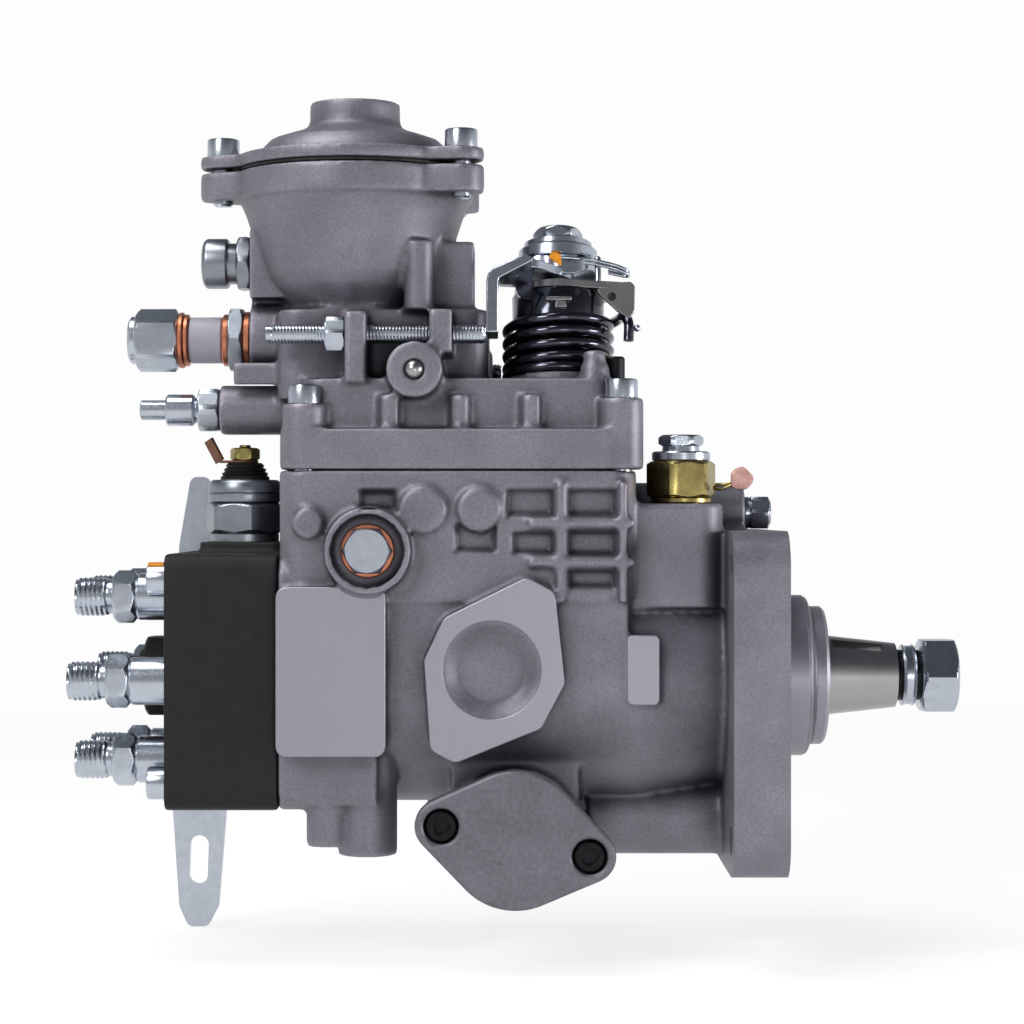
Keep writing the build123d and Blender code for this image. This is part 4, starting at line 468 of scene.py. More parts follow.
def thread(bm, axis, start, end, radius, pitch, u, v, sides=32):
    """External thread: a V groove of that pitch wound round a rod with chamfered ends."""
    depth = 0.6 * pitch
    steps = max(4, round(abs(end - start) / pitch * 4))
    low, high = min(start, end), max(start, end)

    def groove(angle, along, reach):
        phase = ((along - low) / pitch - angle / (2 * math.pi)) % 1.0
        runout = min(1.0, (along - low) / pitch, (high - along) / pitch)
        return min(reach - depth * abs(2 * phase - 1) * 0.5 - depth * 0.5 * (1 - runout), reach)

    profile = [(low + (high - low) * step / steps, radius) for step in range(steps + 1)]
    turned(bm, axis, profile, u, v, wave=groove, sides=sides)


def washer(bm, axis, start, end, outer, inner, u, v):
    """Flat ring with slightly rounded outer edges."""
    low, high = min(start, end), max(start, end)
    round_off = min(0.35, (high - low) * 0.3)
    profile = [(low, inner), (low, outer - round_off), (low + round_off, outer), (high - round_off, outer),
               (high, outer - round_off), (high, inner)]
    turned(bm, axis, profile, u, v, loop=True)


def wire(bm, path, radius, sides=12):
    """Round wire with plain ends along a list of points in mm."""
    rings = []
    side = None
    for index, spot in enumerate(path):
        ahead = path[min(index + 1, len(path) - 1)] - path[max(index - 1, 0)]
        ahead.normalize()
        if side is None:
            side = ahead.orthogonal().normalized()
        side = (side - ahead * side.dot(ahead)).normalized()
        other = ahead.cross(side)
        ring = []
        for step in range(sides):
            angle = 2 * math.pi * step / sides
            spoke = side * radius * math.cos(angle) + other * radius * math.sin(angle)
            ring.append(bm.verts.new((spot + spoke) * MM))
        rings.append(ring)
    for low, high in zip(rings, rings[1:]):
        bridge(bm, low, high)
    bm.faces.new(rings[0])
    bm.faces.new(rings[-1])


def plate(bm, outline, normal_axis, low, high, place=None):
    """Flat plate: an outline of (first, second) points across an axis, given a thickness."""
    rings = []
    for along in (low, high):
        ring = []
        for first, second in outline:
            spot = point(normal_axis, along, first, second)
            ring.append(bm.verts.new((place @ spot if place else spot) * MM))
        rings.append(ring)
    bm.faces.new(rings[0])
    bm.faces.new(rings[1])
    bridge(bm, *rings)


def rounded(points, radius, steps=5):
    """Outline with each corner rounded to a radius."""
    smooth = []
    count = len(points)
    for index in range(count):
        here = Vector(points[index])
        back = (Vector(points[index - 1]) - here)
        ahead = (Vector(points[(index + 1) % count]) - here)
        half = back.angle(ahead) / 2
        reach = min(radius / math.tan(half), back.length / 2.05, ahead.length / 2.05)
        first = here + back.normalized() * reach
        last = here + ahead.normalized() * reach
        for step in range(steps + 1):
            share = step / steps
            smooth.append(tuple((1 - share) ** 2 * first + 2 * share * (1 - share) * here + share ** 2 * last))
    return smooth


def smooth_path(knots, steps=8):
    """Points along a smooth curve through knots, in mm."""
    spots = [Vector(knot) for knot in knots]
    spots = [2 * spots[0] - spots[1], *spots, 2 * spots[-1] - spots[-2]]
    path = []
    for a, b, c, d in zip(spots, spots[1:], spots[2:], spots[3:]):
        for step in range(steps):
            t = step / steps
            path.append(0.5 * (2 * b + (c - a) * t + (2 * a - 5 * b + 4 * c - d) * t * t
                               + (3 * b - a - 3 * c + d) * t ** 3))
    path.append(spots[-2])
    return path


def tangent_hull(first, second, steps=16):
    """Outline of the shape that a belt round two circles (x, y, radius) makes."""
    ax, ay, a = first
    bx, by, b = second
    run = math.hypot(bx - ax, by - ay)
    heading = math.atan2(by - ay, bx - ax)
    spread = math.acos((a - b) / run)
    far_side = [heading + spread + (2 * math.pi - 2 * spread) * step / steps for step in range(steps + 1)]
    near_side = [heading - spread + 2 * spread * step / steps for step in range(steps + 1)]
    return on_circle(far_side, a, ax, ay) + on_circle(near_side, b, bx, by)


def make_piece(name, bm, material, body="pump_body", replaces=(), edge=0.0, sharp=32.0):
    """Turns a bmesh into a piece of the pump."""
    bmesh.ops.remove_doubles(bm, verts=bm.verts, dist=1e-7)
    return dress(name, closed_mesh(name, bm), material, body, replaces, edge, sharp)


def closed_mesh(name, bm):
    """A mesh made of a bmesh, with its faces turned outwards. The bmesh is used up."""
    bmesh.ops.recalc_face_normals(bm, faces=bm.faces)
    mesh = bpy.data.meshes.new(name)
    bm.to_mesh(mesh)
    bm.free()
    return mesh


def dress(name, mesh, material, body, replaces, edge, sharp):
    """Makes a mesh a piece that rides on a body, with its finish. edge breaks its edges, and what turns by more
    than sharp degrees keeps a crease."""
    piece = bpy.data.objects.new(name, mesh)
    bpy.context.scene.collection.objects.link(piece)
    mesh.materials.clear()
    mesh.materials.append(finish(material))
    mesh.shade_smooth()
    mesh.set_sharp_from_angle(angle=math.radians(sharp))
    if edge:
        bevel = piece.modifiers.new("broken_edge", "BEVEL")
        bevel.width = edge
        bevel.segments = 2
        bevel.limit_method = "ANGLE"
        bevel.angle_limit = math.radians(40)
    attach(piece, body)
    if replaces:
        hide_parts(*replaces)
    return piece


def solids(node):
    """(low, high) corners in mm of each separate solid in a CAD node, in a steady order."""
    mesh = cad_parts[node].data
    keys = {}  # vertices in one place are one
    leader = []  # and those that edges join have the same leader

    def find(index):
        while leader[index] != index:
            leader[index] = leader[leader[index]]
            index = leader[index]
        return index

    owner = []
    for vertex in mesh.vertices:
        key = tuple(round(value * 1e6) for value in vertex.co)
        if key not in keys:
            keys[key] = len(leader)
            leader.append(len(leader))
        owner.append(keys[key])
    for edge in mesh.edges:
        first, second = (find(owner[index]) for index in edge.vertices)
        leader[first] = second
    boxes = {}
    for vertex, own in zip(mesh.vertices, owner):
        spot = vertex.co / MM
        low, high = boxes.setdefault(find(own), (spot.copy(), spot.copy()))
        for index in range(3):
            low[index] = min(low[index], spot[index])
            high[index] = max(high[index], spot[index])
    return sorted(boxes.values(), key=lambda box: tuple(round(value, 2) for value in box[0]))


def span(node):
    """(low, high) corners in mm of a whole CAD node."""
    low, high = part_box(node)
    return low / MM, high / MM


def centre(low, high):
    """Middle of a box."""
    return (low + high) / 2


# ------------------------------------------------------------------ castings
def recast(name, node, extras=None, passes=4, material="blasted_cast_aluminium",
           relief=None):
    """Rebuilds a CAD casting from small cubes and smooths it, which gives its corners their cast fillets.
    extras first adds true rounds over the CAD piece's flats; relief(x, z) is the depth of its near wall."""
    sizes = bpy.context.scene.pump_sizes
    bm = bmesh.new()
    bm.from_mesh(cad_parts[node].data)
    bmesh.ops.remove_doubles(bm, verts=bm.verts, dist=1e-6)
    if extras:
        extra = bmesh.new()
        extras(extra)
        bm.from_mesh(closed_mesh("rounds", extra))
    mesh = bpy.data.meshes.new(name)
    bm.to_mesh(mesh)
    bm.free()
    rough = bpy.data.objects.new(name + "_rough", mesh)
    bpy.context.scene.collection.objects.link(rough)
    cubes = rough.modifiers.new("cubes", "REMESH")
    cubes.mode = "VOXEL"
    cubes.voxel_size = sizes.voxel
    soft = rough.modifiers.new("soft", "SMOOTH")
    soft.factor = 0.5
    soft.iterations = passes
    graph = bpy.context.evaluated_depsgraph_get()
    final = bpy.data.meshes.new_from_object(rough.evaluated_get(graph))
    bpy.data.objects.remove(rough)
    normals = [vertex.normal.copy() for vertex in final.vertices]
    for vertex, normal in zip(final.vertices, normals):
        vertex.co -= normal * sizes.skin
        if relief and normal.y < -0.5 and vertex.co.y < NEAR_WALL_Y * MM:
            vertex.co.y += relief(vertex.co.x / MM, vertex.co.z / MM) * MM
    return dress(name, final, material, "pump_body", (node,), 0.0, 80.0)


def slope(inset):
    """Share of a hollow's full depth. inset is the way in from its rim as a share of its slope's width."""
    share = max(0.0, min(1.0, inset))
    return share * share * (3 - 2 * share)


def near_wall_relief(x, z):
    """Depth in mm of the pockets between the housing's ribs and of the dish in the shield pad."""
    if any(math.hypot(x - boss_x, z - boss_z) < radius + 0.5 for boss_x, boss_z, radius in NEAR_BOSSES):
        return 0.0
    deep = DISH_DEPTH * slope((DISH_R - math.hypot(x - DISH_X, z - DISH_Z)) / DISH_SLOPE)
    for x0, x1, z0, z1 in POCKETS:
        deep = max(deep, POCKET_DEPTH * slope(min(x - x0, x1 - x, z - z0, z1 - z) / POCKET_SLOPE))
    return deep


def shell(bm, axis, profile, u=0.0, v=0.0, wall=3.0, sides=96):
    """Round wall: its outside is the profile and its inside lies deeper by wall."""
    inside = [(along, max(0.5, radius - wall)) for along, radius in reversed(profile)]
    turned(bm, axis, list(profile) + inside, u, v, loop=True, sides=sides)


def polar_reach(outline, angle):
    """Distance from the origin to an outline of (x, y) points, along an angle."""
    ray = Vector((math.cos(angle), math.sin(angle)))
    far = 0.0
    for first, second in zip(outline, outline[1:] + outline[:1]):
        start, run = Vector(first), Vector(second) - Vector(first)
        across = ray.x * run.y - ray.y * run.x
        if abs(across) > 1e-9:
            share = (start.x * ray.y - start.y * ray.x) / across
            if -1e-6 <= share <= 1 + 1e-6:
                far = max(far, (start + run * share).dot(ray))
    return far


def lobed_rim(bm, low, high):
    """Compensator flange: a round rim with four lobes that carry the screws."""
    lobes = []
    for degrees in LOBES:
        x = LOBE_CIRCLE_R * math.cos(math.radians(degrees))
        y = LOBE_CIRCLE_R * math.sin(math.radians(degrees))
        lobes.append(tangent_hull((x * 0.55, y * 0.55, 15.5), (x, y, LOBE_R)))

    def rim(angle, along, reach):
        return reach if reach < RIM_R else max([RIM_R] + [polar_reach(lobe, angle) for lobe in lobes])

    profile = [(low, RIM_R - 6), (low, RIM_R), (high, RIM_R), (high, RIM_R - 6)]
    turned(bm, "Z", profile, COMPENSATOR_X, wave=rim, loop=True, sides=144)


def corner_posts(bm, x, half_y, radius, low, high, middle_y=0.0, taper=0.0):
    """Rounds the four upright corners of a block that runs over x and to half_y on each side."""
    end = radius - (high - low) * taper
    for corner_x in (x[0] + radius, x[1] - radius):
        for side in (-1, 1):
            corner_y = middle_y + side * (half_y - radius)
            shell(bm, "Z", [(low, radius), (high, end)], corner_x, corner_y, wall=2.5, sides=64)


def housing_rounds(bm):
    """Rounds of the housing: barrel, timing cylinder, bosses and upright corners."""
    arc = fan(155, 230, 96)  # the barrel is open on top, where it would cross the governor's chamber
    plate(bm, on_circle(arc, 39.0) + on_circle(reversed(arc), 35.0), "X", -150.5, -43.6)
    shell(bm, "X", [(-44.6, 39.0), (-43.6, 39.0), (-16.5, 34.0)], wall=4.0, sides=144)
    shell(bm, "Y", [(-45.9, 19.5), (45.9, 19.5)], TIMING_X, TIMING_Z)
    shell(bm, "X", [(-47.6, 9.5), (-8.2, 9.5)], 5.5, 50.73)
    shell(bm, "Y", [(-46.0, 13.0), (-36.0, 13.0)], *SIDE_PLUG, wall=2.2)
    for x, z, radius in NEAR_BOSSES:
        turned(bm, "Y", [(-42.2, radius), (-39.0, radius)], x, z)
    turned(bm, "X", [(-58.0, 12.0), (-18.0, 12.0)], -6.0, -43.0)
    turned(bm, "Z", [(-52.5, 9.0), (-30.0, 9.0)], -124.5, -27.0)
    turned(bm, "Z", [(-49.5, 7.0), (-28.0, 7.0)], -136.0, -29.0)
    corner_posts(bm, BODY_X, 40.0, 9.0, 26.0, 63.3)
    corner_posts(bm, (-57.6, -17.2), 34.0, 8.0, 22.0, 53.5)


def cover_rounds(bm):
    """Rounds of the cover: corners, compensator bowl, rim and bosses."""
    corner_posts(bm, BODY_X, 40.0, 10.0, 63.5, 75.7)
    corner_posts(bm, (-145.9, -48.6), 34.0, 9.0, 75.8, 91.0, taper=0.0875)
    corner_posts(bm, (-153.0, -88.0), 23.0, 8.0, 86.0, 112.9, middle_y=2.0)
    # the drive end's wall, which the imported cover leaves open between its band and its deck
    plate(bm, [(-51.6, 74.8), (-48.7, 74.8), (-49.5, 86.0), (-51.6, 86.0)], "Y", -30.0, 30.0)
    bowl = [(108.0, 20.0), (113.0, 20.3), (117.0, 23.0), (120.5, 26.2), (124.0, 28.2), (130.0, 30.0),
            (137.0, 32.0), (143.0, 34.0), (147.5, 36.0)]
    shell(bm, "Z", bowl, COMPENSATOR_X, sides=144)
    lobed_rim(bm, 147.5, 156.1)
    shell(bm, "X", [(-162.2, 11.7), (-140.0, 11.7)], 0.0, 104.5)
    shell(bm, "X", [(-171.5, 7.8), (-138.0, 7.8)], *FULL_LOAD)
    shell(bm, "Y", [(-40.9, 8.5), (-18.0, 8.5)], *DRILLING, wall=4.0)
    turned(bm, "Z", [(112.0, 4.7), (132.6, 4.7), (133.2, 4.0)], -109.3, -22.0)
    turned(bm, "Z", [(75.8, 4.8), (94.6, 4.6), (95.6, 3.6), (99.8, 3.4)], -56.0, -26.5)
    for x, seat in COVER_SCREW_SEATS:
        for side in (-1, 1):
            shell(bm, "Z", [(63.5, 6.8), (seat - 0.1, 6.8)], x, side * COVER_SCREW_Y, wall=3.5, sides=64)


def lid_rounds(bm):
    """Rounds of the lid: rim, domed top and knob."""
    lobed_rim(bm, 157.1, 161.3)
    dome = [(160.0, 30.3), (161.5, 30.2), (163.5, 29.2), (165.3, 27.6), (167.0, 24.6), (168.3, 21.0),
            (169.3, 17.6), (170.6, 14.9), (172.0, 14.2), (177.4, 14.1), (178.2, 13.2)]
    shell(bm, "Z", dome, COMPENSATOR_X, wall=2.4, sides=144)


def timing_outline():
    """Smooth outline of the timing covers: a round body with an ear at each end."""
    ears = [tangent_hull((0.0, 0.0, TIMING_R), (x, z, TIMING_EAR_R)) for x, z in TIMING_EARS]
    outline = []
    for index in range(160):
        angle = 2 * math.pi * index / 160
        reach = max([TIMING_R] + [polar_reach(ear, angle) for ear in ears])
        outline.append((TIMING_X + reach * math.cos(angle), TIMING_Z + reach * math.sin(angle)))
    return outline


def flat_plate(name, outline, axis, low, high, material="milled_aluminium", holes=(), drilled=None, replaces=(),
               edge=None, sharp=32.0):
    """Plate of an outline, standing on a casting. Its round holes (u, v, radius) go through, or are drilled
    between two places."""
    bm = bmesh.new()
    plate(bm, outline, axis, low, high)
    mesh = closed_mesh(name, bm)
    for u, v, radius in holes:
        mesh = pierced(mesh, axis, *(drilled or (low - 1, high + 1)), u, v, radius)
    edge = edge or bpy.context.scene.pump_sizes.edge
    return dress(name, mesh, material, "pump_body", replaces, edge, sharp)


def pierced(mesh, axis, low, high, u, v, radius):
    """Copy of a mesh with a round hole cut through it."""
    bm = bmesh.new()
    turned(bm, axis, [(low, radius), (high, radius)], u, v)
    work = bpy.data.objects.new("work", mesh)
    tool = bpy.data.objects.new("drill", closed_mesh("drill", bm))
    for item in (work, tool):
        bpy.context.scene.collection.objects.link(item)
    cut = work.modifiers.new("hole", "BOOLEAN")
    cut.object = tool
    cut.operation = "DIFFERENCE"
    cut.solver = "EXACT"
    graph = bpy.context.evaluated_depsgraph_get()
    result = bpy.data.meshes.new_from_object(work.evaluated_get(graph))
    for item in (work, tool):
        bpy.data.objects.remove(item)
    return result


def rounded_box(x, z, radius):
    """Rounded rectangle in a plane across Y, from its limits."""
    return rounded([(x[0], z[0]), (x[1], z[0]), (x[1], z[1]), (x[0], z[1])], radius)


def cap_screw(bm, axis, seat, end, u, v, radius, head_h):
    """Cap screw with a hexagon socket; its head stands on seat, away from end."""
    out = 1 if seat > end else -1
    head_r = radius * 5 / 3
    socket = head_r  # the key's flats are as wide as the head's radius
    profile = [(end, radius * 0.8), (end + out * 0.6, radius), (seat, radius), (seat, head_r)]
    profile += [(seat + out * (head_h - 0.7), head_r), (seat + out * (head_h - 0.2), head_r - 0.2),
                (seat + out * head_h, head_r - 0.7), (seat + out * head_h, socket * 0.62),
                (seat + out * (head_h - 0.3), socket * 0.6, socket),
                (seat + out * head_h * 0.45, socket * 0.6, socket)]
    turned(bm, axis, profile, u, v)


def hexagon_piece(bm, axis, start, end, flats, u=0.0, v=0.0, turn=0.0, corner=0.07):
    """Solid chamfered hexagon."""
    profile = nut_profile(start, end, flats, 0.0, corner)[1:-1]
    turned(bm, axis, profile, u, v, turn=turn)


def hexagon_nut(bm, axis, start, end, flats, bore, u=0.0, v=0.0, turn=0.0, place=None, corner=0.07):
    """Chamfered hexagon with a round bore."""
    turned(bm, axis, nut_profile(start, end, flats, bore, corner), u, v, turn=turn, loop=True, place=place)


def slotted_end(bm, axis, start, end, radius, u, v, tilt):
    """The two halves that a driver slot leaves at a screw's end."""
    half_slot, steps = 0.7, 16
    reach = math.asin(half_slot / radius)
    for side in (0.0, math.pi):
        angles = [side + tilt + reach + (math.pi - 2 * reach) * step / steps for step in range(steps + 1)]
        plate(bm, on_circle(angles, radius, u, v), axis, min(start, end), max(start, end))


def throttle_axis():
    """Place of the throttle's shaft, which leans away from the near side."""
    return Matrix.Translation((-66.6, -4.0, 91.2)) @ Matrix.Rotation(math.radians(-10), 4, "X")


def dished_top(bm, place):
    """Throttle lever's top: a bent, wavy disc with a notch in its rim and a bore."""
    sides = 96
    rings = []
    for inner, height in ((True, 33.0), (False, 33.0), (False, 37.2), (True, 37.2)):
        ring = []
        for step in range(sides):
            angle = 2 * math.pi * step / sides
            notch = math.exp(-((math.degrees(angle) - 252) / 14) ** 2)
            reach = 5.0 if inner else 12.4 - 1.9 * notch + 0.35 * math.cos(7 * angle)
            lift = 0.0 if inner else 1.3 * math.cos(4 * (angle - math.radians(240)))
            spot = Vector((reach * math.cos(angle), reach * math.sin(angle), height + lift))
            ring.append(bm.verts.new(place @ spot * MM))
        rings.append(ring)
    for low, high in zip(rings, rings[1:] + rings[:1]):
        bridge(bm, low, high)


# ------------------------------------------------------------------ operators
class PumpOperator:
    """Shared settings of the pump's operators."""

    bl_options = {"REGISTER", "UNDO"}


class PUMP_OT_castings(PumpOperator, bpy.types.Operator):
    """Castings with rounded corners and a blasted skin"""

    bl_idname = "pump.castings"
    bl_label = "Castings"

    def execute(self, context):
        recast("housing_casting", "pump_housing", housing_rounds, relief=near_wall_relief)
        recast("cover_casting", "governor_cover", cover_rounds)
        recast("lid_casting", "compensator_lid", lid_rounds)
        recast("head_block", "distributor_head", None, 1, "oxide_blackened_steel")
        holes = [(TIMING_X + x, TIMING_Z + z, 5.2) for x, z in TIMING_EARS]
        for side, name, replaces in ((-1, "near_timing_cover", ("timing_covers",)),
                                     (1, "far_timing_cover", ())):
            low, high = sorted((side * 46.05, side * 50.95))
            flat_plate(name, timing_outline(), "Y", low, high, "sand_cast_aluminium", holes,
                       (side * 47.2, side * 52.0), replaces, 0.9 * MM, 30.0)
        return {"FINISHED"}


class PUMP_OT_machined_faces(PumpOperator, bpy.types.Operator):
    """Milled pads, mounting flange and pilot"""

    bl_idname = "pump.machined_faces"
    bl_label = "Machined Faces"

    def execute(self, context):
        flat_plate("side_pad_face", rounded_box((BODY_X[0], -118.4), (-21.5, 28.7), 3.5), "Y", *PAD_Y)
        shield = [(-76.6, 31.7), (-68.3, 27.3), (-65.3, 0.1), (-72.4, -13.2), (-97.8, -23.5), (-105.2, -19.4),
                  (-107, 7.2), (-101.1, 19.6)]
        dish = (DISH_X, DISH_Z, DISH_R + 0.1)
        flat_plate("shield_pad_face", rounded(shield, 3.5), "Y", *PAD_Y, holes=(dish,))
        flat_plate("small_pad_face", rounded_box((-46.8, -37.0), (-6.5, 14.3), 2.0), "Y", -39.7, -38.4)
        around = []
        for (y, z), first in zip(FLANGE_CORNERS, (180, 270, 0, 90)):
            around += on_circle(fan(first, 90, 8), FLANGE_CORNER_R, y, z)
        flat_plate("flange_face", around, "X", -16.5, 0.0, "faced_cast_aluminium",
                   [(y, z, 4.5) for y, z in FLANGE_CORNERS] + [(0.0, 0.0, 20.0)])
        bm = bmesh.new()
        turned(bm, "X", [(-0.8, 20.0), (-0.8, 25.0), (9.2, 25.0), (9.9, 24.2), (9.9, 21.5), (14.9, 21.5),
                         (15.9, 20.6), (15.9, 18.0), (9.9, 18.0)], loop=True, sides=96)
        make_piece("pilot_ring", bm, "milled_aluminium")
        return {"FINISHED"}


class PUMP_OT_outlets(PumpOperator, bpy.types.Operator):
    """Delivery unions and centre plug on the distributor head"""

    bl_idname = "pump.outlets"
    bl_label = "Outlets"

    def execute(self, context):
        pitch = context.scene.pump_sizes.thread_pitch / MM
        bm = bmesh.new()
        for low, high in solids("outlet_holders"):
            u, v = centre(low, high).yz
            turned(bm, "X", [(high.x, 7.2), (-184.9, 7.2), (-195.0, 7.2), (-195.9, 6.6), (-195.9, 4.1),
                             (-172.5, 4.1)], u, v)
            hexagon_piece(bm, "X", -202.9, -195.9, 14.0, u, v, math.radians(30), corner=0.09)
            turned(bm, "X", [(-202.9, 5.2), (-204.4, 5.2)], u, v)
            thread(bm, "X", low.x, -204.4, 6.0, pitch, u, v)
        make_piece("delivery_unions", bm, "zinc_plated_steel", replaces=("outlet_holders",))
        bm = bmesh.new()
        hexagon_piece(bm, "X", -194.9, -184.9, 24.0)
        turned(bm, "X", [(-196.9, 7.7), (-196.4, 8.2), (-194.9, 8.2)])
        hexagon_piece(bm, "X", -200.7, -196.9, 12.0)
        turned(bm, "X", [(-184.9, 9.0), (-174.0, 9.0), (-173.4, 8.4)])
        make_piece("centre_plug_body", bm, "oxide_blackened_steel",
                   replaces=("centre_plug",))
        return {"FINISHED"}


class PUMP_OT_cap_screws(PumpOperator, bpy.types.Operator):
    """Socket cap screws of the cover, lid, head and timing covers"""

    bl_idname = "pump.cap_screws"
    bl_label = "Cap Screws"

    def execute(self, context):
        groups = (("cover_cap_screws", "cover_screws", "Z", 3.0, 5.6),
                  ("lid_cap_screws", "lid_screws", "Z", 3.0, 5.6),
                  ("head_cap_screws", "head_screws", "X", 3.0, 5.6),
                  ("timing_cap_screws", "timing_screws", "Y", 2.7, 3.0))
        for name, node, usual, radius, head_h in groups:
            bm = bmesh.new()
            for low, high in solids(node):
                # the screw that holds the rear bracket lies across, so it is short along its group's axis
                axis = usual if (high - low)[AXES[usual][0]] > 12.5 else "Y"
                main, first, second = AXES[axis]
                middle = centre(low, high)
                outwards = axis == "Z" or (axis == "Y" and middle.y > 0)
                seat = high[main] - head_h if outwards else low[main] + head_h
                end = low[main] if outwards else high[main]
                cap_screw(bm, axis, seat, end, middle[first], middle[second], radius, head_h)
            coat = "dark_steel_and_painted_shade" if node == "timing_screws" else "zinc_plated_steel"
            make_piece(name, bm, coat, replaces=(node,))
        # the dab lies round the head of the upper near screw
        low, high = max(solids("head_screws"), key=lambda box: box[1].z - box[0].y)
        at = centre(low, high).yz
        arc = fan(55, 70, 10)
        bm = bmesh.new()
        plate(bm, on_circle(arc, 5.35, *at) + on_circle(reversed(arc), 4.8, *at), "X", low.x + 0.4, low.x + 5.0)
        make_piece("head_screw_paint_mark", bm, "orange_paint")
        return {"FINISHED"}


class PUMP_OT_return_line(PumpOperator, bpy.types.Operator):
    """Fuel return: hollow bolt, sleeve, union and the pump's copper sealing rings"""

    bl_idname = "pump.return_line"
    bl_label = "Return Line"

    def execute(self, context):
        z = centre(*span("return_bolt")).z
        bm = bmesh.new()
        hexagon_piece(bm, "X", -198.2, -184.8, 17.0, 0, z, math.radians(30))
        turned(bm, "X", [(-200.4, 6.4), (-199.6, 7.4), (-198.2, 7.4)], 0, z)
        turned(bm, "X", [(-184.8, 3.0), (-158.0, 3.0)], 0, z)
        make_piece("return_banjo_bolt", bm, "zinc_plated_steel", replaces=("return_bolt",))
        bm = bmesh.new()
        turned(bm, "X", [(-181.6, 3.0), (-181.6, 6.6), (-181.0, 7.2), (-171.6, 7.2), (-171.0, 6.6),
                         (-171.0, 3.0)], 0, z, loop=True)
        make_piece("return_spacer", bm, "grey_nylon", replaces=("return_sleeve",))
        bm = bmesh.new()
        hexagon_nut(bm, "X", -169.1, -164.4, 19.0, 3.0, 0, z, corner=0.05)
        turned(bm, "X", [(-164.4, 3.0), (-164.4, 5.0), (-150.0, 5.0), (-150.0, 3.0)], 0, z, loop=True)
        make_piece("return_union", bm, "passivated_steel", replaces=("return_adapter",))
        bm = bmesh.new()
        for start, end, outer, inner in ((-184.8, -183.2, 8.7, 3.0), (-183.2, -181.6, 8.1, 3.0),
                                         (-171.0, -169.1, 8.1, 3.0), (-164.4, -162.3, 8.9, 5.0)):
            washer(bm, "X", start, end, outer, inner, 0, z)
        washer(bm, "Y", -44.4, -43.0, 8.0, 5.5, *SIDE_PLUG)
        make_piece("sealing_rings", bm, "annealed_copper", replaces=("copper_washers",))
        return {"FINISHED"}


class PUMP_OT_boost_union(PumpOperator, bpy.types.Operator):
    """Boost pressure union of the compensator, with its domed cap"""

    bl_idname = "pump.boost_union"
    bl_label = "Boost Union"

    def execute(self, context):
        z = centre(*span("boost_fitting")).z
        bm = bmesh.new()
        dome = [(-177.5, 2.0), (-177.5, 4.4)]
        dome += [(-175.6 - 1.9 * math.cos(angle), 5.0 + 2.8 * math.sin(angle)) for angle in fan(0, 90, 6)]
        turned(bm, "X", dome + [(-170.0, 7.8), (-169.4, 7.3), (-169.4, 6.4), (-166.6, 6.4)], 0, z)
        hexagon_piece(bm, "X", -166.6, -162.2, 16.0, 0, z)
        turned(bm, "X", [(-162.2, 5.0), (-150.2, 5.0)], 0, z)
        make_piece("boost_union", bm, "passivated_steel", replaces=("boost_fitting",))
        return {"FINISHED"}


class PUMP_OT_adjusters(PumpOperator, bpy.types.Operator):
    """Full-load, top speed and idle screws with their locknuts"""

    bl_idname = "pump.adjusters"
    bl_label = "Adjusting Screws"

    def execute(self, context):
        pitch = context.scene.pump_sizes.screw_pitch / MM
        y, z = FULL_LOAD
        bm = bmesh.new()
        turned(bm, "X", [(-196.3, 2.5), (-195.8, 3.1), (-188.2, 3.1)], y, z)
        turned(bm, "X", [(-188.2, 3.9), (-188.2, 4.4), (-187.6, 4.9), (-180.0, 4.9), (-179.4, 4.4),
                         (-179.4, 3.9)], y, z, loop=True)
        thread(bm, "X", -188.2, -144.0, 4.0, pitch, y, z)
        make_piece("full_load_adjuster", bm, "zinc_plated_steel",
                   replaces=("full_load_screw",))
        bm = bmesh.new()
        thread(bm, "X", -153.6, -88.9, 3.0, pitch, *SPEED_SCREW)
        slotted_end(bm, "X", -155.1, -153.6, 2.7, *SPEED_SCREW, tilt=math.radians(70))
        thread(bm, "X", -101.0, -84.4, 3.0, pitch, *IDLE_SCREW)
        make_piece("stop_screws", bm, "zinc_plated_steel", replaces=("speed_screws",))
        bm = bmesh.new()
        hexagon_nut(bm, "X", -178.1, -171.6, 13.0, 3.6, y, z)
        hexagon_nut(bm, "X", -137.3, -131.3, 10.0, 2.7, *SPEED_SCREW)
        make_piece("adjuster_nuts", bm, "zinc_plated_steel",
                   replaces=("adjusting_locknuts",))
        return {"FINISHED"}


class PUMP_OT_side_fittings(PumpOperator, bpy.types.Operator):
    """Side plug, governor shaft nut and the ball that seals the cover's drilling"""

    bl_idname = "pump.side_fittings"
    bl_label = "Side Fittings"

    def execute(self, context):
        bm = bmesh.new()
        hexagon_piece(bm, "Y", -49.0, -44.4, 13.2, *SIDE_PLUG, corner=0.16)
        turned(bm, "Y", [(-44.4, 5.5), (-27.0, 5.5)], *SIDE_PLUG)
        make_piece("side_screw_plug", bm, "zinc_plated_steel", replaces=("side_plug",))
        bm = bmesh.new()
        u, v = 5.5, 50.7
        turned(bm, "X", [(-118.0, 3.5), (-117.5, 4.0), (0.0, 4.0), (0.2, 3.6)], u, v)
        hexagon_nut(bm, "X", -6.4, -0.3, 10.0, 3.9, u, v)
        washer(bm, "X", -8.2, -6.4, 5.0, 3.9, u, v)
        make_piece("governor_spindle", bm, "zinc_plated_steel", replaces=("governor_shaft",))
        bm = bmesh.new()
        ball_r = 2.9
        profile = [(-39.6 - ball_r * math.cos(angle), max(0.05, ball_r * math.sin(angle)))
                   for angle in fan(0, 90, 6)]
        turned(bm, "Y", profile, *DRILLING)
        make_piece("drilling_ball", bm, "ground_steel")
        return {"FINISHED"}


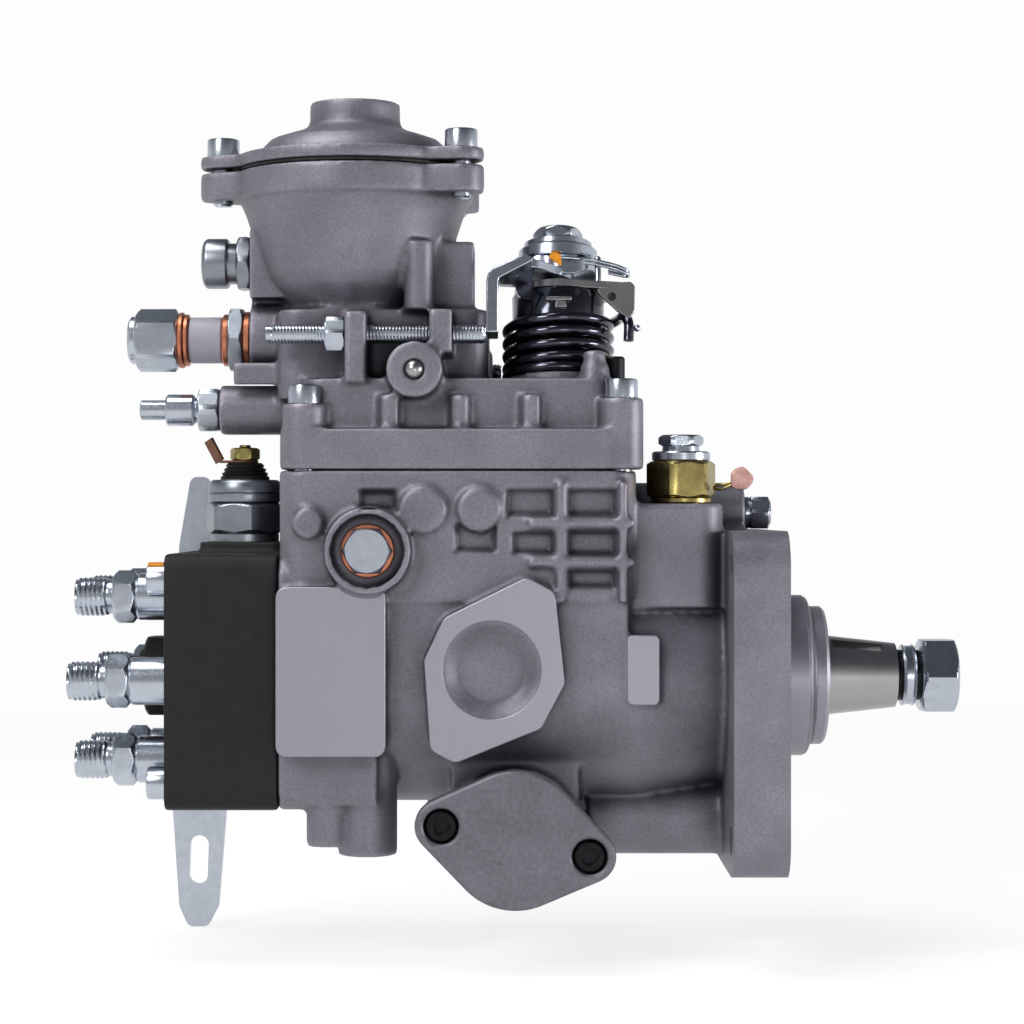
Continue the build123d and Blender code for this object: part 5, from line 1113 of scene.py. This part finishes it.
class PUMP_OT_solenoid(PumpOperator, bpy.types.Operator):
    """Stop solenoid with its insulator, stud, nut and blade"""

    bl_idname = "pump.solenoid"
    bl_label = "Stop Solenoid"

    def execute(self, context):
        x = centre(*span("solenoid_body")).x
        bm = bmesh.new()
        turned(bm, "Z", [(24.0, 5.25), (24.0, 8.0), (41.8, 8.0), (41.8, 10.6), (44.0, 10.6), (44.3, 10.3)],
               x, 0)
        hexagon_piece(bm, "Z", 44.3, 53.7, 22.0, x, 0, math.radians(-12), corner=0.06)
        turned(bm, "Z", [(53.7, 10.4), (54.2, 11.2), (55.0, 11.4), (56.4, 11.4), (56.7, 11.1), (57.0, 11.4),
                         (59.4, 11.4), (60.3, 10.9), (60.9, 10.2), (60.9, 7.6)], x, 0)
        make_piece("solenoid_case", bm, "passivated_steel", replaces=("solenoid_body",))
        bm = bmesh.new()
        turned(bm, "Z", [(60.9, 2.0), (60.9, 7.6), (61.8, 7.6), (62.3, 6.9), (62.9, 7.3), (63.5, 6.3),
                         (64.2, 6.7), (64.8, 5.7), (65.4, 6.0), (66.2, 5.2), (66.2, 2.0)], x, 0, loop=True)
        make_piece("solenoid_cap", bm, "moulded_rubber_and_painted_hole_shade", replaces=("solenoid_insulator",))
        bm = bmesh.new()
        thread(bm, "Z", 61.0, 71.8, 2.0, 0.7, x, 0, sides=24)
        hexagon_nut(bm, "Z", 67.0, 70.9, 8.0, 1.8, x, 0)
        make_piece("solenoid_connection", bm, "yellow_chromate",
                   replaces=("solenoid_terminal",))
        bm = bmesh.new()
        tab = [(x - 8.0, -2.4), (x, -4.2), (x + 3.0, -2.9), (x + 4.2, 0), (x + 3.0, 2.9), (x, 4.2),
               (x - 8.0, 2.4)]
        plate(bm, tab, "Z", 66.2, 67.0)
        lean = (Matrix.Translation((x - 9.6, 0, 70.0)) @ Matrix.Rotation(math.radians(-28), 4, "Y")
                @ Matrix.Rotation(math.radians(38), 4, "Z"))
        plate(bm, [(-0.5, -2.3), (0.5, -2.3), (0.5, 2.3), (-0.5, 2.3)], "Z", -3.8, 3.9, place=lean)
        make_piece("solenoid_blade", bm, "tarnished_brass", edge=0.2 * MM)
        return {"FINISHED"}


class PUMP_OT_inlet(PumpOperator, bpy.types.Operator):
    """Fuel inlet adapter, its cap and the seal wire"""

    bl_idname = "pump.inlet"
    bl_label = "Fuel Inlet"

    def execute(self, context):
        x, y = centre(*span("inlet_cap")).xy
        bm = bmesh.new()
        turned(bm, "Z", [(40.6, 4.0), (40.6, 7.0), (53.6, 7.0), (53.6, 9.2), (53.9, 9.6), (55.0, 9.6),
                         (55.2, 9.4), (55.2, 4.0)], x, y, loop=True)
        hexagon_nut(bm, "Z", 55.2, 66.5, 19.0, 4.0, x, y, math.radians(10), corner=0.06)
        make_piece("inlet_union", bm, "yellow_chromate", replaces=("inlet_adapter",))
        bm = bmesh.new()
        turned(bm, "Z", [(50.0, 4.0), (66.5, 4.0), (66.5, 8.3), (66.9, 8.9), (68.9, 8.9), (69.4, 8.4),
                         (69.4, 5.8), (71.0, 5.6)], x, y)
        hexagon_piece(bm, "Z", 71.0, 74.5, 12.0, x, y)
        make_piece("inlet_plug", bm, "zinc_plated_steel", replaces=("inlet_cap",))
        bm = bmesh.new()
        for knots in (
            [(-19.4, -18.2, 58.4), (-18.2, -19.2, 59.2), (-16.4, -20.3, 59.3), (-14.6, -20.9, 59.9),
             (-12.6, -21.2, 60.4)],
            [(-19.3, -18.0, 57.9), (-17.4, -19.6, 57.9), (-15.2, -20.6, 58.7), (-12.8, -21.2, 60.0)],
        ):
            wire(bm, smooth_path(knots), 0.42)
        make_piece("seal_wire", bm, "yellow_chromate")
        bm = bmesh.new()
        tag = Matrix.Translation((-11.2, -21.4, 61)) @ Matrix.Rotation(math.radians(12), 4, "Y")

        def crimped(angle, along, reach):
            return reach * (1 + 0.05 * math.cos(3 * angle) + 0.04 * math.sin(5 * angle))

        turned(bm, "Y", [(-1.4, 2.6), (-1.0, 3.3), (0.6, 3.5), (1.4, 2.8)], place=tag, wave=crimped)
        make_piece("seal_tag", bm, "soft_seal_alloy", replaces=("wire_seal",))
        return {"FINISHED"}


class PUMP_OT_shaft_end(PumpOperator, bpy.types.Operator):
    """Nut and lock washers on the drive shaft"""

    bl_idname = "pump.shaft_end"
    bl_label = "Shaft End"

    def execute(self, context):
        bm = bmesh.new()
        hexagon_nut(bm, "X", 45.9, 57.2, 22.0, 6.9, corner=0.06)
        turned(bm, "X", [(40.3, 7.0), (40.3, 9.3), (40.8, 9.6), (41.3, 9.2), (43.3, 9.2), (43.8, 9.6),
                         (44.3, 9.3), (44.3, 7.0)], loop=True)
        make_piece("shaft_lock_nut", bm, "zinc_plated_steel", "shaft", ("shaft_nut",))
        bm = bmesh.new()
        # painted shadow: a dark ring where the shaft's thread lies in shade beside the lock washer and under
        # the nut
        turned(bm, "X", [(38.4, 7.0), (38.4, 8.1), (40.6, 7.8), (45.9, 7.8), (45.9, 7.0)], loop=True)
        make_piece("shaft_thread_shadow", bm, "dark_steel_and_painted_shade", "shaft")
        return {"FINISHED"}


class PUMP_OT_throttle_spring(PumpOperator, bpy.types.Operator):
    """Return spring round its drum on the throttle's leaning shaft"""

    bl_idname = "pump.throttle_spring"
    bl_label = "Throttle Spring"

    def execute(self, context):
        lean = throttle_axis()
        gauge = context.scene.pump_sizes.spring_wire / MM
        bm = bmesh.new()
        steps, coil_r, rise = 48, 15.9, 4.0  # points and climb of one turn
        path = []
        for step in range(-40, 205):  # the first turn lies flat on the deck
            angle = 2 * math.pi * step / steps
            height = 1.9 + rise * max(step, -4) / steps
            path.append(Vector((coil_r * math.cos(angle), coil_r * math.sin(angle), height)))
        # the upper leg goes round behind and hooks down over the plate; its first knot's stretch is left out
        path += smooth_path([path[-1], (-4.0, 16.4, 19.2), (10.5, 12.5, 19.6), (17.5, 3.0, 19.9),
                             (20.2, -6.0, 19.6), (21.6, -9.3, 16.4), (21.5, -9.5, 11.0)])[8:]
        wire(bm, [lean @ spot for spot in path], gauge, sides=14)
        make_piece("throttle_return_spring", bm, "phosphated_spring_steel",
                   replaces=("torsion_spring",), sharp=60.0)

        bm = bmesh.new()
        turned(bm, "Z", [(2.0, 11.0), (2.0, 13.4), (18.6, 13.4), (18.6, 14.2), (26.6, 14.4), (27.2, 14.0),
                         (27.2, 5.0), (25.4, 5.0), (25.4, 11.0)], loop=True, place=lean)
        lug = [(-18.2, 31.0), (-18.2, 28.4), (-13.6, 28.2), (-12.6, 25.0), (-10.4, 23.4), (-8.0, 23.4),
               (-8.0, 31.0)]
        plate(bm, lug, "Y", -11.5, -8.5, place=lean)
        make_piece("spring_drum", bm, "phosphated_spring_steel", "throttle", ("spring_cup",),
                   sharp=40.0)
        return {"FINISHED"}


class PUMP_OT_throttle_retainer(PumpOperator, bpy.types.Operator):
    """Plate and wire clip that hold the throttle's spring"""

    bl_idname = "pump.throttle_retainer"
    bl_label = "Throttle Retainer"

    def execute(self, context):
        lean = throttle_axis()
        bm = bmesh.new()
        sheet = on_circle(fan(60, 240, 30), 13.6) + [(21.5, -8.8), (22.6, -7.5), (22.6, 4.0), (21.0, 5.0)]
        plate(bm, sheet, "Z", 27.4, 29.8, place=lean)
        fold = [(11.4, 26.8), (14.6, 29.4), (22.4, 29.6), (23.6, 28.2), (23.4, 20.2), (21.8, 17.6),
                (18.0, 20.4)]
        plate(bm, rounded(fold, 1.2), "Y", -10.2, -8.4, place=lean)
        plate(bm, [(-4.0, 22.4), (3.9, 22.4), (3.9, 23.6), (-4.0, 23.6)], "Y", -15.4, -13.6, place=lean)
        plate(bm, [(-1.3, 20.2), (2.4, 20.2), (2.0, 22.4), (-0.9, 22.4)], "Y", -15.2, -13.6, place=lean)
        make_piece("spring_retaining_plate", bm, "ground_steel", "throttle", edge=0.25 * MM)

        bm = bmesh.new()
        # painted shade: dark discs on the plate where its holes show the shade behind them
        for along, u, v, size in ((-10.5, 16.4, 24.8, 1.3), (-13.3, 5.4, 25.6, 1.1)):
            turned(bm, "Y", [(along + 0.5, size), (along, size), (along - 0.15, size * 0.8)], u, v, place=lean)
        make_piece("retaining_plate_hole_shade", bm, "moulded_rubber_and_painted_hole_shade", "throttle")

        bm = bmesh.new()
        for start, drop in ((-165, 0.0), (-150, -1.1)):
            ring = [(x, y, 37.3 + drop) for x, y in on_circle(fan(start, 84, 7), 10.2)]
            tail = [(8.6, -9.6, 36.9 + drop), (13.0, -10.2, 35.9 + drop), (18.0, -9.8, 34.7 + drop),
                    (21.3, -8.2, 33.6 + drop), (20.9, -6.4, 33.4 + drop), (15.5, -6.2, 34.6 + drop)]
            wire(bm, [lean @ spot for spot in smooth_path(ring + tail, 5)], 0.55)
        turned(bm, "Z", [(29.6, 1.0), (37.4, 1.0), (38.0, 0.6)], 12.2, -8.6, place=lean)
        turned(bm, "Z", [(14.1, 0.3), (14.5, 0.9), (15.2, 1.1), (15.9, 0.9), (16.3, 0.3)], 24.2, -8.4,
               place=lean)
        make_piece("throttle_clip", bm, "zinc_plated_steel", "throttle", sharp=60.0)
        return {"FINISHED"}


class PUMP_OT_throttle_lever(PumpOperator, bpy.types.Operator):
    """Throttle lever with its nut, and the stop pin on the deck"""

    bl_idname = "pump.throttle_lever"
    bl_label = "Throttle Lever"

    def execute(self, context):
        lean = throttle_axis()
        bm = bmesh.new()
        dished_top(bm, lean)
        elbow = [(-22.2, 9.0), (-22.2, 25.2), (-21.6, 27.4), (-20.3, 28.9), (-18.4, 29.6), (-10.0, 33.6),
                 (-8.0, 31.4), (-17.2, 26.4), (-18.3, 25.8), (-18.6, 24.6), (-18.6, 9.0)]
        plate(bm, elbow, "Y", -28.6, -19.4, place=lean)
        arm = tangent_hull((-3.0, -4.0, 8.0), (-9.0, -17.4, 4.6))
        plate(bm, arm, "Z", 30.9, 33.7, place=lean)
        make_piece("throttle_arm", bm, "zinc_plated_steel", "throttle", ("throttle_lever",),
                   context.scene.pump_sizes.edge)

        bm = bmesh.new()
        turned(bm, "Z", [(34.2, 5.0), (34.2, 9.2), (38.4, 9.2), (38.4, 11.8), (38.9, 12.3), (41.6, 12.3),
                         (42.2, 11.7), (42.5, 10.2), (42.7, 10.6), (44.2, 10.6), (44.9, 9.4), (45.1, 7.2),
                         (45.1, 5.0)], loop=True, place=lean)
        hexagon_nut(bm, "Z", 45.0, 48.9, 13.4, 4.3, place=lean, corner=0.1)
        turned(bm, "Z", [(44.0, 4.4), (48.5, 4.4), (49.1, 3.8)], place=lean)
        make_piece("throttle_lock_nut", bm, "zinc_plated_steel", "throttle", ("throttle_nut",))

        bm = bmesh.new()
        dab = [(-2.9, 36.6), (0.3, 34.2), (0.9, 34.2), (0.7, 37.4), (-0.6, 38.2), (-2.4, 38.3)]
        plate(bm, rounded(dab, 0.5), "Y", -12.8, -11.0, place=lean)
        make_piece("throttle_paint_mark", bm, "orange_paint", "throttle")

        bm = bmesh.new()
        turned(bm, "Z", [(91.0, 3.2), (97.6, 3.2), (98.2, 2.7)], -49.8, -20.0)
        make_piece("deck_stop_pin", bm, "dark_steel_and_painted_shade")
        return {"FINISHED"}


class PUMP_OT_inner_parts(PumpOperator, bpy.types.Operator):
    """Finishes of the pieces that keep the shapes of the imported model"""

    bl_idname = "pump.inner_parts"
    bl_label = "Inner Parts"

    def execute(self, context):
        finishes = {
            "cast_aluminium": "blasted_cast_aluminium",
            "machined_aluminium": "milled_aluminium",
            "black_oxide_steel": "oxide_blackened_steel",
            "zinc_steel": "zinc_plated_steel",
            "plain_steel": "ground_steel",
            "spring_steel": "phosphated_spring_steel",
            "copper": "annealed_copper",
            "chromate_steel": "yellow_chromate",
            "black_rubber": "moulded_rubber_and_painted_hole_shade",
            "black_plastic": "moulded_rubber_and_painted_hole_shade",
            "lead": "soft_seal_alloy",
        }
        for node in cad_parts.values():
            for place, old in enumerate(node.data.materials):
                key = old.name.split(".")[0]
                if key in finishes:
                    node.data.materials[place] = finish(finishes[key])
        return {"FINISHED"}


class PUMP_OT_studio(PumpOperator, bpy.types.Operator):
    """Pale floor, soft lamps and the camera"""

    bl_idname = "pump.studio"
    bl_label = "Studio"

    def execute(self, context):
        sizes = context.scene.pump_sizes
        backdrop = context.scene.pump_colours.backdrop
        low = CAD_BOX[0]
        bm = bmesh.new()
        floor_z = low.z - 0.6 * MM
        half = 8.0
        square = ((-half, -half), (half, -half), (half, half), (-half, half))
        bm.faces.new([bm.verts.new((x, y, floor_z)) for x, y in square])
        mesh = bpy.data.meshes.new("floor")
        bm.to_mesh(mesh)
        bm.free()
        floor = bpy.data.objects.new("floor", mesh)
        context.scene.collection.objects.link(floor)
        mesh.materials.append(paper_floor(backdrop))

        middle = Vector((-0.08, 0.0, 0.04))
        for name, spot, side, power in (
            ("key", (-0.8, -0.9, 0.75), 0.45, 8.0),
            ("side", (1.15, -0.3, 0.05), 0.4, 9.0),
            ("top", (-0.5, -0.15, 1.1), 0.6, 8.5),
            ("low", (0.1, -0.85, -0.07), 0.2, 1.0),
        ):
            lamp = bpy.data.lights.new(name, "AREA")
            lamp.energy = power
            lamp.size = side
            lamp_object = bpy.data.objects.new(name, lamp)
            lamp_object.location = spot
            lamp_object.rotation_euler = (middle - Vector(spot)).to_track_quat("-Z", "Y").to_euler()
            context.scene.collection.objects.link(lamp_object)
        context.scene.world = studio_world(backdrop)

        camera = bpy.data.cameras.new("camera")
        camera.lens = 90.0
        camera.sensor_width = 36.0
        camera_object = bpy.data.objects.new("camera", camera)
        camera_object.location = (CAMERA_X * MM, -sizes.camera_distance, CAMERA_Z * MM)
        camera_object.rotation_euler = (math.radians(90), 0.0, 0.0)
        context.scene.collection.objects.link(camera_object)
        context.scene.camera = camera_object
        context.scene.view_settings.view_transform = "Standard"
        return {"FINISHED"}


# ------------------------------------------------------------------ panel and registration
class PUMP_PT_panel(bpy.types.Panel):
    """Lists the pump's pieces, sizes and colours"""

    bl_idname = "PUMP_PT_panel"
    bl_label = "Injection Pump"
    bl_space_type = "VIEW_3D"
    bl_region_type = "UI"
    bl_category = "Injection Pump"

    def draw(self, context):
        layout = self.layout
        for operator in OPERATORS:
            layout.operator(operator.bl_idname)
        for group in (context.scene.pump_sizes, context.scene.pump_colours):
            box = layout.box()
            for key in group.bl_rna.properties.keys():
                if key not in ("rna_type", "name"):
                    box.prop(group, key)


OPERATORS = (
    PUMP_OT_inner_parts, PUMP_OT_castings, PUMP_OT_machined_faces, PUMP_OT_outlets, PUMP_OT_cap_screws,
    PUMP_OT_return_line, PUMP_OT_boost_union, PUMP_OT_adjusters, PUMP_OT_side_fittings, PUMP_OT_solenoid,
    PUMP_OT_inlet, PUMP_OT_shaft_end, PUMP_OT_throttle_spring, PUMP_OT_throttle_retainer,
    PUMP_OT_throttle_lever, PUMP_OT_studio,
)
CLASSES = (PumpSizes, PumpColours, *OPERATORS, PUMP_PT_panel)


def register():
    """Adds the operators, the panel and the settings."""
    for item in CLASSES:
        bpy.utils.register_class(item)
    bpy.types.Scene.pump_sizes = bpy.props.PointerProperty(type=PumpSizes)
    bpy.types.Scene.pump_colours = bpy.props.PointerProperty(type=PumpColours)


def unregister():
    """Takes them away again."""
    del bpy.types.Scene.pump_colours
    del bpy.types.Scene.pump_sizes
    for item in reversed(CLASSES):
        bpy.utils.unregister_class(item)


def main():
    """Builds the whole scene."""
    register()
    for operator in OPERATORS:
        family, name = operator.bl_idname.split(".")
        getattr(getattr(bpy.ops, family), name)()
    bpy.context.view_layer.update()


if __name__ == "__main__":
    main()
